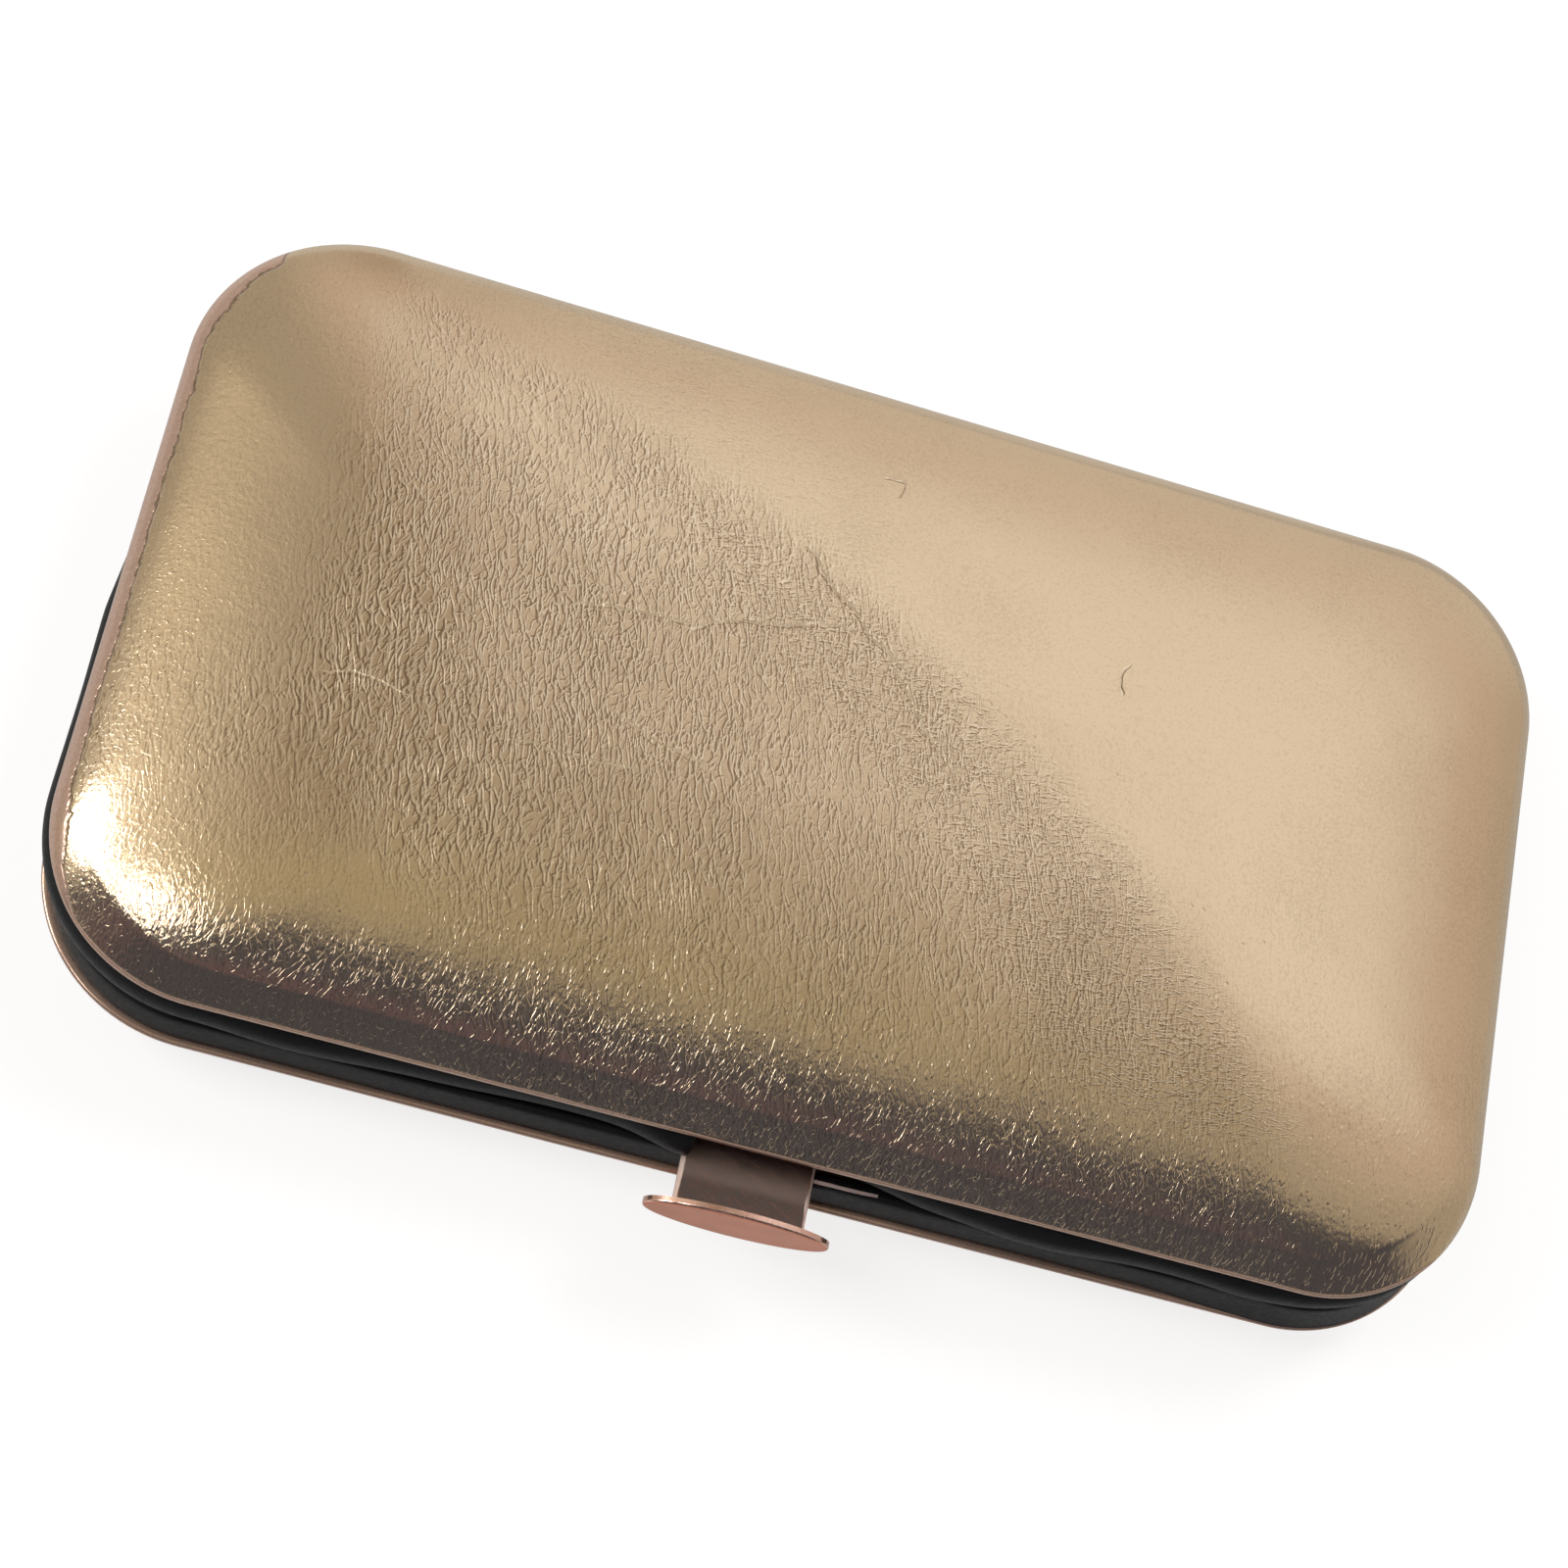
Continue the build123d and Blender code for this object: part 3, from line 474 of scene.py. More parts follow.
def skinSection(side, sloped):
    # the rows from the crown's underside round the rim to its top: how far in and how high each lies
    form, skin = caseForm, skinForm
    flatFrom = form["crownFlat" if side == "lid" else "footInset"]

    def dome(angle):
        inset = form.halfWidth * (1 - np.cos(angle))
        rise = form.crownRise * np.sin(angle)
        if sloped:
            rise = np.minimum(rise, skin.rimWall + skin.rimSlope * inset)
        limit = math.acos(1 - flatFrom / form.halfWidth)
        top = form.crownRise * math.sin(limit)
        if side == "lid":
            t = share(inset - flatFrom, skin.easeReach)
            top = top + skin.easeRise * (1 - (1 - t) ** 2)
        return inset, np.where(angle > limit, top, rise)

    start = math.asin(skin.roll / form.crownRise)
    steps = np.linspace(0, 1, skin.domeRows + 1) ** skin.rowPower
    outer = dome(start + (math.pi / 2 - start) * steps)
    innerAngle = math.pi / 2 * np.linspace(1, 0, skin.innerRows + 1) ** skin.rowPower
    innerInset, innerRise = dome(innerAngle)
    leanOut, leanUp = np.cos(innerAngle) / form.halfWidth, np.sin(innerAngle) / form.crownRise
    lean = np.hypot(leanOut, leanUp)
    innerInset = innerInset + skin.thickness * leanOut / lean
    innerRise = np.maximum(innerRise - skin.thickness * leanUp / lean, 0)
    innerInset[0] = form.halfWidth
    return np.concatenate(((innerInset, innerRise), skin.foot, outer), axis=1), len(innerInset) + 1


def leatherSkin(side, seed):
    form, skin = caseForm, skinForm
    (rowInset, rowRise), firstOuter = skinSection(side, False)
    (slopedInset, slopedRise), _ = skinSection(side, True)
    runs = np.hypot(np.diff(rowInset), np.diff(rowRise))
    rowAcross = np.concatenate(([0], np.cumsum(runs)))
    rowAcross = rowAcross - rowAcross[firstOuter]
    slopeInset, slopeRise = np.gradient(rowInset), np.gradient(rowRise)
    slope = np.hypot(slopeInset, slopeRise)
    rowOut, rowUp = slopeRise / slope, slopeInset / slope  # the section's outward normal: outset and rise

    piece, u, row = gridPiece(side + "_gold_leather", skin.around, len(rowInset) - 1)
    edgeX, edgeY, outX, outY = rimEdge(u)
    front = share(-outY - skin.frontFrom, skin.frontEase)
    left = share(-outX - skin.leftFrom, skin.leftEase)
    inset = rowInset[row] + front * (slopedInset - rowInset)[row]
    rise = rowRise[row] + front * (slopedRise - rowRise)[row]
    across = rowAcross[row]
    radius = form.corner * (1 - form.cornerTaper * inset / form.halfWidth)
    radius = np.minimum(radius, skin.cornerLimit * (form.halfWidth - inset))
    x, y, outX, outY = rimPoint(u, inset, np.maximum(radius, 0))

    # the turned edge shows in front and at the left, and runs out round the other corners
    crease, shown = skin.crease, np.maximum(front, left)
    line = crease.front + (crease.left - crease.front) * left * (1 - front)
    line = line * (1 + skin.creaseWave * lumps(edgeX, edgeY, skin.waveSize, seed + 7))
    outer = row > firstOuter
    lift = shown * skin.bead * np.sin(math.pi * np.clip(across / line, 0, 1))
    body = 1 - np.exp(-np.maximum(across - line, 0) / skin.sagFrom)
    body = body if side == "lid" else body * (rise < form.crownRise * skin.baseSag)
    sag = skin.sag * (lumps(x, y, skin.sagSize, seed) - skin.sagLevel)
    lift += body * (sag + skin.dimple * lumps(x, y, skin.dimpleSize, seed + 3))
    lift = np.where(outer, lift, 0)
    x, y = x + lift * rowOut[row] * outX, y + lift * rowOut[row] * outY
    rise = rise + lift * rowUp[row]
    wrapRise = np.where(outer, across / line * skin.creaseAt, 0) + skin.plainAt * (1 - shown)
    shapeGrid(piece, x, y + setBack[side], form.parting + outward[side] * (form.halfGap + rise),
              u * rimLength * mm, wrapRise)
    closeSkin(piece)
    return piece


for side, seed, creased in ("lid", 0, True), ("base", 20, False):
    skin = leatherSkin(side, seed)
    dress(skin, goldLeather("gold leather, " + side, leatherLook, creased))
    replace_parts(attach(skin, side), side + "_leather")
print("leather skins done:", len(skin.data.polygons), "faces each")

# black lips
lipForm = Form(
    around=420, slideRight=7.4, slideLeft=-5.6,  # the lid's lip leaves this gap for the slide
    sideBelly=0.2, leftBelly=0.55, lidBelly=0.45, leftHollow=0.35, leftTurn=8, leftEase=12,
    # swells along the front of the lid's lip: x, reach, extra
    swells=((-44, 7, 0.5), (-6.6, 4, 0.95), (28, 8.5, 0.85), (49, 5, 0.5), (-18, 9, -0.65), (8.5, 6, -0.8)),
    waver=Form(lid=(0.15, 9, 5), base=(0.12, 8, 9)),  # height, size and seed of the random waves
    rearHalf=22, rearEase=1.5, rearInset=-0.8, rearLow=Form(lid=1.75, base=0.95), rearTop=3,
    freeFrom=1.1, freeEase=0.8,
    slideHalf=Form(lid=7.5, base=7.3), slideEase=Form(lid=1.2, base=0.6), slideLow=Form(lid=1.15, base=0.55),
    narrowLength=9, narrowRise=0.42, narrowTop=3.8, narrowInset=0.45,
    hangFrom=40, hangEase=12, hangTurn=4, hangSide=14, hangLow=1.4, hangOut=1, hangDrop=1.05,
    # outset from the rim and height over the parting, round each section
    section=Form(
        lid=((-2.55, 0.22), (-1.6, 0.18), (-0.8, 0.2), (-0.5, 0.42), (-0.1, 0.95), (0, 1.6), (-0.03, 2.25),
             (-0.28, 2.9), (-0.62, 3.35), (-0.8, 3.75), (-0.95, 3.84), (-1.05, 3.12), (-2.55, 3.05)),
        base=((-2.55, -0.2), (-1.7, -0.16), (-1.25, -0.2), (-1.05, -0.5), (-0.92, -1.2), (-0.78, -2.1),
              (-0.66, -3), (-0.63, -3.6), (-0.78, -3.86), (-1.04, -3.82), (-1.05, -3.12), (-2.55, -3.05)),
    ),
)
lipLook = Form(
    grain=(1.8, 3, 0.6), grainDepth=0.02, cellScale=1.6, cellStep=(0, 0.12, 0, 0.012),
    haze=(0.3, 2), dark=(0.006, 0.0065, 0.007), pale=(0.014, 0.015, 0.016),
    roughStep=(0.2, 0.8, 0.38, 0.55), specular=0.28,
    sheen={"Sheen Weight": 0.04, "Sheen Roughness": 0.4},
)


def blackLeather(name, look):
    material, shader, flat = paint(name)
    grain = cloud(flat, *look.grain)
    cells = {"Vector": flat, "Scale": look.cellScale}
    cells = put(flat.id_data, "TexVoronoi", cells, feature="DISTANCE_TO_EDGE").outputs["Distance"]
    bump(shader, plus(times(grain, look.grainDepth), fade(cells, *look.cellStep)))
    colour = blend(cloud(flat, *look.haze), look.dark, look.pale)
    tune(shader, colour, fade(grain, *look.roughStep), 0, look.sheen, look.specular)
    return material


lipBlack = blackLeather("black lip leather", lipLook)


def lidLipShape(edgeX, edgeY, outX, outY, outset, height, wave, free, rear):
    form = lipForm
    front = np.clip(-outY, 0, 1)
    belly = form.sideBelly + (form.lidBelly - form.sideBelly) * front ** 2
    belly = belly - form.sideBelly * np.clip(outY, 0, 1) ** 2
    low = share(form.leftTurn - edgeY, form.leftEase)
    left = low * form.leftBelly - (1 - low) * form.leftHollow - form.sideBelly
    belly = belly + left * np.clip(-outX, 0, 1) ** 2
    for x, reach, extra in form.swells:
        belly = belly + front * extra * np.exp(-((edgeX - x) / reach) ** 2)
    outset = outset + free * (belly + wave) * (1 - rear)
    pressed = (np.minimum(outset, form.rearInset) - outset) * (height < form.rearTop)
    outset = np.where(rear > 0, outset + rear * pressed, outset)
    # it tapers up under the rim beside the clasp
    narrow = (1 - share(edgeX - form.slideRight, form.narrowLength)) * (edgeX > 0) * (edgeY < 0)
    height = height + narrow * form.narrowRise * (form.narrowTop - height)
    return outset - narrow * form.narrowInset * free, height


def baseLipShape(edgeX, edgeY, outset, height, wave, free):
    # pressed out over the base's rim at the front right corner
    form = lipForm
    hang = share(edgeX - form.hangFrom, form.hangEase) * share(form.hangTurn - edgeY, form.hangSide)
    hang = hang * share(-form.hangLow - height, form.hangLow)
    return outset + free * wave + free * hang * form.hangOut, height - hang * form.hangDrop


def softLip(side):
    form, up = lipForm, outward[side]
    section = np.array(form.section[side] + form.section[side][:1])
    piece, u, row = gridPiece(side + "_black_lip", form.around, len(section) - 1)
    if side == "lid":
        u = atFront(form.slideRight) + (atFront(form.slideLeft) - atFront(form.slideRight)) * u
    outset, height = section[row, 0], section[row, 1]
    edgeX, edgeY, outX, outY = rimEdge(u)
    rear = share(form.rearHalf - np.abs(edgeX), form.rearEase) * (edgeY > 0)
    slide = share(form.slideHalf[side] - np.abs(edgeX), form.slideEase[side]) * (edgeY < 0)
    for near, low in (rear, form.rearLow[side]), (slide, form.slideLow[side]):
        height = height + up * near * np.clip(low - up * height, 0, None)
    free = share(outset + form.freeFrom, form.freeEase)  # only the part outside the frame may swell
    deep, size, seed = form.waver[side]
    wave = deep * lumps(edgeX, edgeY, size, seed)
    if side == "lid":
        outset, height = lidLipShape(edgeX, edgeY, outX, outY, outset, height, wave, free, rear)
    else:
        outset, height = baseLipShape(edgeX, edgeY, outset, height, wave, free)
    y = edgeY + outset * outY + setBack[side]
    shapeGrid(piece, edgeX + outset * outX, y, caseForm.parting + height)
    closeSkin(piece, caps=side == "lid")
    applyModifier(piece, "SUBSURF", levels=1, render_levels=1)
    bpy.ops.object.shade_smooth()
    dress(piece, lipBlack)
    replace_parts(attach(piece, side), side + "_lip")


softLip("lid")
softLip("base")
print("lips done")

# metals, plastics and cloths; a step is a noise's low and high values and what they give
metalLook = Form(lines=(1, 3, 0.6), lineStep=(0.25, 0.75), haze=(0.25, 2), hazeStep=(0.3, 0.8, 0, 0.5))
flockLook = Form(
    detail=(3, 0.7), nap=(0.09, 2), share=(0.7, 0.5), step=(0.35, 0.85), depth=0.1,
    sheen={"Sheen Weight": 0.7, "Sheen Roughness": 0.4}, specular=0.12,
)
elasticLook = Form(
    rib=0.55, thread=0.9, threadShare=0.6, fuzz=(5, 2), depth=0.1, fuzzDepth=0.03,
    roughness=0.8, sheen={"Sheen Weight": 0.25, "Sheen Roughness": 0.5}, specular=0.3,
)
plasticLook = Form(grain=(2.5, 3, 0.6), grainStep=(0.2, 0.8), haze=(0.12, 2))
claspLook = Form(
    # the pale rim colour is a painted highlight on the button's rim; the two plate colours are a painted dark
    # reflection on the plate's top, lighter towards the rear as painted light against the lid's shadow; the pale
    # pink is a painted highlight on the plate's bevels
    copper=(0.8, 0.29, 0.155), copperDeep=(0.66, 0.24, 0.13), rim=(0.9, 0.58, 0.47),
    plateTop=(0.152, 0.119, 0.109), plateRear=(0.26, 0.206, 0.19), worn=(0.95, 0.74, 0.66),
    haze=(0.35, 2.5), hazeStep=(0.35, 0.75, 0, 0.6),
    scratches=((28, (0.25, 9, 9)), (-47, (0.2, 11, 11))), scratchAt=0.62, scratchReach=0.012,
    rimStep=(0.6, 0.95), topStep=(0.85, 0.97), rearStep=(-41.9, -40.8),
    bevelStep=(5.88, 6.06), bevelWaver=0.25, bevelMiddle=0.3, wornMetal=0.25, scratchCopper=0.4,
    roughness=(0.14, 0.26), plateRoughness=(0.36, 0.46), roughTop=1.2, scratchDepth=0.006,
)


def brushedMetal(name, colour, dark, roughness, brush=(0.4, 6, 6), depth=0.0015):
    material, shader, flat = paint(name)
    lines = cloud(calcVector("MULTIPLY", flat, brush), *metalLook.lines)
    haze = fade(cloud(flat, *metalLook.haze), *metalLook.hazeStep)
    bump(shader, times(lines, depth))
    tune(shader, blend(haze, colour, dark), fade(lines, *metalLook.lineStep, *roughness), 1)
    return material


def roseGold(name, look, darkTop):
    material, shader, flat = paint(name)
    haze = fade(cloud(flat, *look.haze), *look.hazeStep)
    scratches = plus(*(
        peak(minus(cloud(turned(flat, angle, scale), 1, 1), look.scratchAt), look.scratchReach)
        for angle, scale in look.scratches))
    colour = blend(haze, look.copper, look.copperDeep)
    normal = axes(coordinates(flat, "Normal"))
    if darkTop:  # the plate's flat top is painted darker, a painted dark reflection, and paler towards the rear, painted light against the lid's shadow; its bevelled edges carry a painted highlight
        x, y, _ = axes(flat)
        top = blend(fade(y, *look.rearStep), look.plateTop, look.plateRear)
        colour = blend(fade(normal[2], *look.topStep), colour, top)
        colour = blend(calc("MULTIPLY", scratches, look.scratchCopper, clamp=True), colour, look.copper)
        # a painted highlight along the plate's bevelled edges, paler and less metallic
        waver = times(minus(haze, look.bevelMiddle), look.bevelWaver)
        rubbed = fade(plus(calc("ABSOLUTE", x), waver), *look.bevelStep)
        colour = blend(rubbed, colour, look.worn)
        metallic = fade(rubbed, 0, 1, 1, look.wornMetal)
    else:  # the button's rim is painted paler than its face, a painted highlight
        colour = blend(fade(calc("ABSOLUTE", normal[1]), *look.rimStep), look.rim, colour)
        metallic = 1
    roughness = look["plateRoughness" if darkTop else "roughness"]
    bump(shader, times(scratches, -look.scratchDepth))
    tune(shader, colour, fade(plus(haze, scratches), 0, look.roughTop, *roughness), metallic)
    return material


def flocked(name, colour, pale, pile):
    material, shader, flat = paint(name)
    fibres = cloud(flat, pile, *flockLook.detail)
    lit = plus(times(fibres, flockLook.share[0]), times(cloud(flat, *flockLook.nap), flockLook.share[1]))
    bump(shader, times(fibres, flockLook.depth))
    colour = blend(fade(lit, *flockLook.step), colour, pale)
    tune(shader, colour, 1, 0, flockLook.sheen, flockLook.specular)
    return material


def wovenElastic(name, colour, pale):
    # ribs across the band and threads along it; the UV map runs across and along it in metres
    look = elasticLook
    material, shader, flat = paint(name)
    x, y, _ = axes(calcVector("SCALE", coordinates(flat, "UV"), scale=1000))
    rib = calc("ABSOLUTE", calc("SINE", times(y, math.pi / look.rib)))
    thread = calc("ABSOLUTE", calc("SINE", times(x, math.pi / look.thread)))
    fuzz = cloud(flat, *look.fuzz)
    weave = times(rib, plus(times(thread, look.threadShare), 1 - look.threadShare))
    bump(shader, plus(times(weave, look.depth), times(fuzz, look.fuzzDepth)))
    tune(shader, blend(times(weave, fuzz), colour, pale), look.roughness, 0, look.sheen, look.specular)
    return material


def mouldedPlastic(name, colour, pale, roughness, depth):
    material, shader, flat = paint(name)
    grain = cloud(flat, *plasticLook.grain)
    bump(shader, times(grain, depth))
    colour = blend(cloud(flat, *plasticLook.haze), colour, pale)
    tune(shader, colour, fade(grain, *plasticLook.grainStep, *roughness))
    return material


plateBrush = ((0.5, 9, 9), 0.0008)
toolBrush = ((0.3, 7, 7), 0.0008)
finishes = {
    "shell_plastic": mouldedPlastic("shell plastic", (0.012, 0.011, 0.01), (0.02, 0.018, 0.017), (0.45, 0.62), 0.03),
    "frame_metal": brushedMetal("frame plate", (0.8, 0.56, 0.46), (0.72, 0.49, 0.4), (0.24, 0.34), *plateBrush),
    "tray_velvet": flocked("black flock", (0.006, 0.006, 0.007), (0.03, 0.029, 0.031), 5),
    "lining_cloth": flocked("black lining", (0.008, 0.008, 0.009), (0.026, 0.026, 0.028), 4),
    "hinge_metal": brushedMetal("hinge plate", (0.8, 0.56, 0.46), (0.72, 0.48, 0.39), (0.22, 0.34), *plateBrush),
    "latch_steel": brushedMetal("pressed steel", (0.6, 0.58, 0.56), (0.42, 0.41, 0.4), (0.25, 0.45)),
    "spring_steel": brushedMetal("spring wire", (0.55, 0.55, 0.56), (0.35, 0.35, 0.36), (0.2, 0.35), (6, 0.6, 6)),
    "tool_steel": brushedMetal("polished tools", (0.84, 0.79, 0.75), (0.76, 0.7, 0.65), (0.26, 0.4), *toolBrush),
    "handle_plastic": mouldedPlastic(
        "handle plastic", (0.012, 0.012, 0.013), (0.02, 0.02, 0.022), (0.12, 0.22), 0.004),
    "elastic": wovenElastic("woven elastic", (0.006, 0.006, 0.007), (0.045, 0.045, 0.048)),
    "clasp_metal": roseGold("rose gold button", claspLook, False),
    "plate_metal": roseGold("rose gold plate", claspLook, True),
}
nodeSlots = {
    "shell_plastic": ("base_shell", "lid_shell"), "frame_metal": ("base_frame", "lid_frame"),
    "hinge_metal": ("base_hinge_leaf", "lid_hinge_leaf", "hinge_pin", "base_hinge_rivets", "lid_hinge_rivets"),
    "clasp_metal": ("push_button",), "plate_metal": ("latch_slide",), "handle_plastic": ("file_handle",),
    "latch_steel": ("latch_guide", "latch_guide_rivets", "lid_catch", "lid_catch_rivets"),
    "tool_steel": (
        "clipper_lower_blade", "clipper_upper_blade", "clipper_lever", "clipper_post", "scissor_lower_half",
        "scissor_upper_half", "scissor_screw", "tweezer_upper_arm", "tweezer_lower_arm", "file_blade",
        "cuticle_pusher", "ear_pick"),
}
for finish, names in nodeSlots.items():
    for name in names:
        cadNodes[name].data.materials.clear()
        dress(cadNodes[name], finishes[finish])


def nodeCopy(name, node):
    # a copy of a solid's mesh with its doubled corners merged
    piece = addObject(name, cadNodes[node].data.copy())
    piece.data.name = name
    piece.data.materials.clear()
    pick(piece)
    wholeMesh()
    bpy.ops.mesh.remove_doubles(threshold=1e-6)
    bpy.ops.object.mode_set(mode="OBJECT")
    return piece


# the return springs, which shorten against the guide's back wall as the slide goes in, are a smoothed copy of the
# solid with a mesh of their own
springForm = Form(backWall=-24.6, length=6.3, travel=2.5)
springs = nodeCopy("return_springs", "latch_springs")
bpy.ops.object.shade_smooth()
dress(springs, finishes["spring_steel"])
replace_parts(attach(springs, "base"), "latch_springs")
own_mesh(springs)
print("finishes done")

# elastic bands over the tools
bandForm = Form(
    width=9, thickness=0.5, lean=18, clearance=0.15, step=0.28, soften=7, sewnEnd=0.6,
    columns=12, edgeDip=0.1, dipPower=6, waist=0.012, waistRise=1.3,  # narrower over the tools
    fill=0.96, seat=Form(lid=2.4, base=2.8),
    # middle, along y from the band's own, width and depth of each tool under it
    lidTools=((-19, 2, 2), (-7, 2.2, 2.2), (7, 8, 2.2), (21, 8.4, 2.8)),
    lidX=26,
    # name, x, y, how far from y it is sewn down, and its tool
    baseBands=(("scissor_band", -3, 11, 8.9, ((0, 13.2, 2.3),)),
               ("clipper_band", -14, -17, 8.2, ((0, 10.5, 6),))),
)
stitchForm = Form(
    radii=(0.62, 0.15, 0.13), count=8, pitch=1.02, turn=48, lift=0.03, segments=8, rings=6,
    lidRows=(-22.1, -13, -2.1, 13.9, 27.1),  # along y, from the bands' middle
)


def bandLine(tools, seat):
    # the band's middle line, flat where it is sewn down and rounded over each tool
    form = bandForm
    half = form.thickness / 2
    lean = math.tan(math.radians(form.lean))
    loops = []
    for y, width, depth in tools:
        top, reach = depth + form.clearance + half, width / 2 + form.clearance + half
        foot = reach + top * lean
        loops += [(y - foot, half), (y - reach, top), (y + reach, top), (y + foot, half)]
    low = min(loops[0][0] - form.sewnEnd, tools[0][0] - tools[0][1] / 2 - seat)
    high = max(loops[-1][0] + form.sewnEnd, tools[-1][0] + tools[-1][1] / 2 + seat)
    corners = np.array([(low, half)] + loops + [(high, half)])
    runs = np.concatenate(([0], np.cumsum(np.hypot(*np.diff(corners, axis=0).T))))
    even = np.linspace(0, runs[-1], int(runs[-1] / form.step) + 1)
    line = np.column_stack((np.interp(even, runs, corners[:, 0]), np.interp(even, runs, corners[:, 1])))
    for _ in range(form.soften):
        line[1:-1] += 0.5 * ((line[:-2] + line[2:]) / 2 - line[1:-1])
    return line, even


def elasticBand(name, side, x, y, tools):
    form, up = bandForm, -outward[side]
    line, even = bandLine(tools, form.seat[side])
    band, across, row = gridPiece(name, form.columns, len(line) - 1)
    edge = np.abs(2 * across - 1)
    waist = 1 - form.waist * np.sin(line[row, 1] * form.waistRise)
    height = line[row, 1] - form.edgeDip * edge ** form.dipPower
    shapeGrid(band, x + (across - 0.5) * form.width * waist, y + line[row, 0], trayFace[side] + up * height,
              across * form.width * mm, even[row] * mm)
    applyModifier(band, "SOLIDIFY", thickness=form.thickness * mm * form.fill, offset=0, use_even_offset=True)
    closeSkin(band)
    dress(band, finishes["elastic"])
    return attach(band, side)


def bandStitches(name, side, rows):
    # short thick threads in a zigzag across each sewn run; a row is x, y
    form, up = stitchForm, -outward[side]
    stitch = primitive("uv_sphere", name, segments=form.segments, ring_count=form.rings, radius=mm)
    wholeMesh()
    bpy.ops.transform.resize(value=form.radii)
    bpy.ops.object.mode_set(mode="OBJECT")
    height = trayFace[side] + up * (bandForm.thickness + form.lift)
    threads = []
    for x, y in rows:
        for k in range(form.count):
            thread = addObject(name, stitch.data.copy())
            place = Vector((x + (k - (form.count - 1) / 2) * form.pitch, y, height)) * mm
            turn = math.radians(form.turn * (1 - 2 * (k % 2)))
            thread.data.transform(Matrix.Translation(place) @ Matrix.Rotation(turn, 4, "Z"))
            threads.append(thread)
    bpy.data.objects.remove(stitch)
    pick(threads[-1], *threads[:-1])
    bpy.ops.object.join()
    sewn = bpy.context.object
    sewn.name = sewn.data.name = name
    bpy.ops.object.shade_smooth()
    dress(sewn, threadBlack)
    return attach(sewn, side)


threadBlack = mouldedPlastic("black thread", (0.01, 0.01, 0.011), (0.05, 0.05, 0.052), (0.45, 0.65), 0.02)
lidEnds = (-bandForm.lidX, bandForm.lidX)
for x, name in zip(lidEnds, ("lid_band_left", "lid_band_right")):
    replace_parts(elasticBand(name + "_woven", "lid", x, setBack["lid"], bandForm.lidTools), name)
for name, x, y, _, tools in bandForm.baseBands:
    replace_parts(elasticBand(name + "_woven", "base", x, y, tools), name)
bandStitches("lid_band_stitches", "lid", [(x, setBack["lid"] + y) for x in lidEnds for y in stitchForm.lidRows])
bandStitches("base_band_stitches", "base",
             [(x, y + way * sewn) for _, x, y, sewn, _ in bandForm.baseBands for way in (1, -1)])
print("bands done")

# padded trays and linings
trayForm = Form(
    voxel=0.62, smooth=4, smoothing=0.5, reach=1.6, edgeRoll=0.75, edgeWidth=1.7,
    slack=0.16, slackSize=13, seed=31, tuck=0.22, tuckAcross=5.5, tuckAlong=1.3,
    halfLength=67.3, halfWidth=37.4, corner=14.6,
    # where the bands are sewn down: x, y
    lid=[(x, y) for x in lidEnds for y in (-22.1, -13, 0, 13.9, 27.1)],
    base=[(-3, 19.9), (-3, 2.1), (-14, -8.6), (-14, -25.4)],
)


def softTray(side):
    # foam under flock: its face rolls off at the walls and dips where the bands are sewn down
    form, up = trayForm, -outward[side]
    tray = nodeCopy(side + "_tray_pad", side + "_tray")
    applyModifier(tray, "REMESH", mode="VOXEL", voxel_size=form.voxel * mm)
    applyModifier(tray, "SMOOTH", factor=form.smoothing, iterations=form.smooth)
    places = placesOf(tray) / mm
    x, y = places[:, 0], places[:, 1] - setBack[side]
    near = np.clip(1 - (trayFace[side] - places[:, 2]) * up / form.reach, 0, 1)
    cornerX = np.abs(x) - form.halfLength + form.corner
    cornerY = np.abs(y) - form.halfWidth + form.corner
    inside = form.corner - np.hypot(np.maximum(cornerX, 0), np.maximum(cornerY, 0))
    inside = inside - np.minimum(np.maximum(cornerX, cornerY), 0)
    drop = form.edgeRoll * np.exp(-np.maximum(inside, 0) / form.edgeWidth)
    drop += form.slack * np.clip(0.5 + lumps(x, y, form.slackSize, form.seed + up), 0, 1)
    for atX, atY in form[side]:
        drop += form.tuck * np.exp(-((x - atX) / form.tuckAcross) ** 4 - ((y - atY) / form.tuckAlong) ** 2)
    places[:, 2] -= up * drop * near
    tray.data.vertices.foreach_set("co", (places * mm).ravel())
    tray.data.update()
    bpy.ops.object.shade_smooth()
    dress(tray, finishes["tray_velvet"])
    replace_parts(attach(tray, side), side + "_tray")


softTray("lid")
softTray("base")

liningForm = Form(
    around=150, frontGap=9.2, rearGap=21.6,
    wave=0.05, waveSize=4, waveSeed=3, waveFrom=0.5, waveTo=3.6,
    stretchFrom=4.2, faceGap=4.25,  # the part below is stretched to reach each tray's face
    # how far in and how far from the parting: down the frame, under its flange and down the shell
    section=((3.86, 0.55), (3.9, 0.36), (4.05, 0.3), (4.22, 0.38), (4.3, 0.62), (4.28, 2.1), (4.3, 3.5),
             (4.16, 3.82), (3.7, 3.92), (2.95, 3.96), (2.78, 4.15), (2.8, 4.9), (2.72, 5.12), (2.42, 5.12),
             (2.4, 4.4), (2.45, 3.94), (3.72, 3.9), (3.86, 3.6)),
)


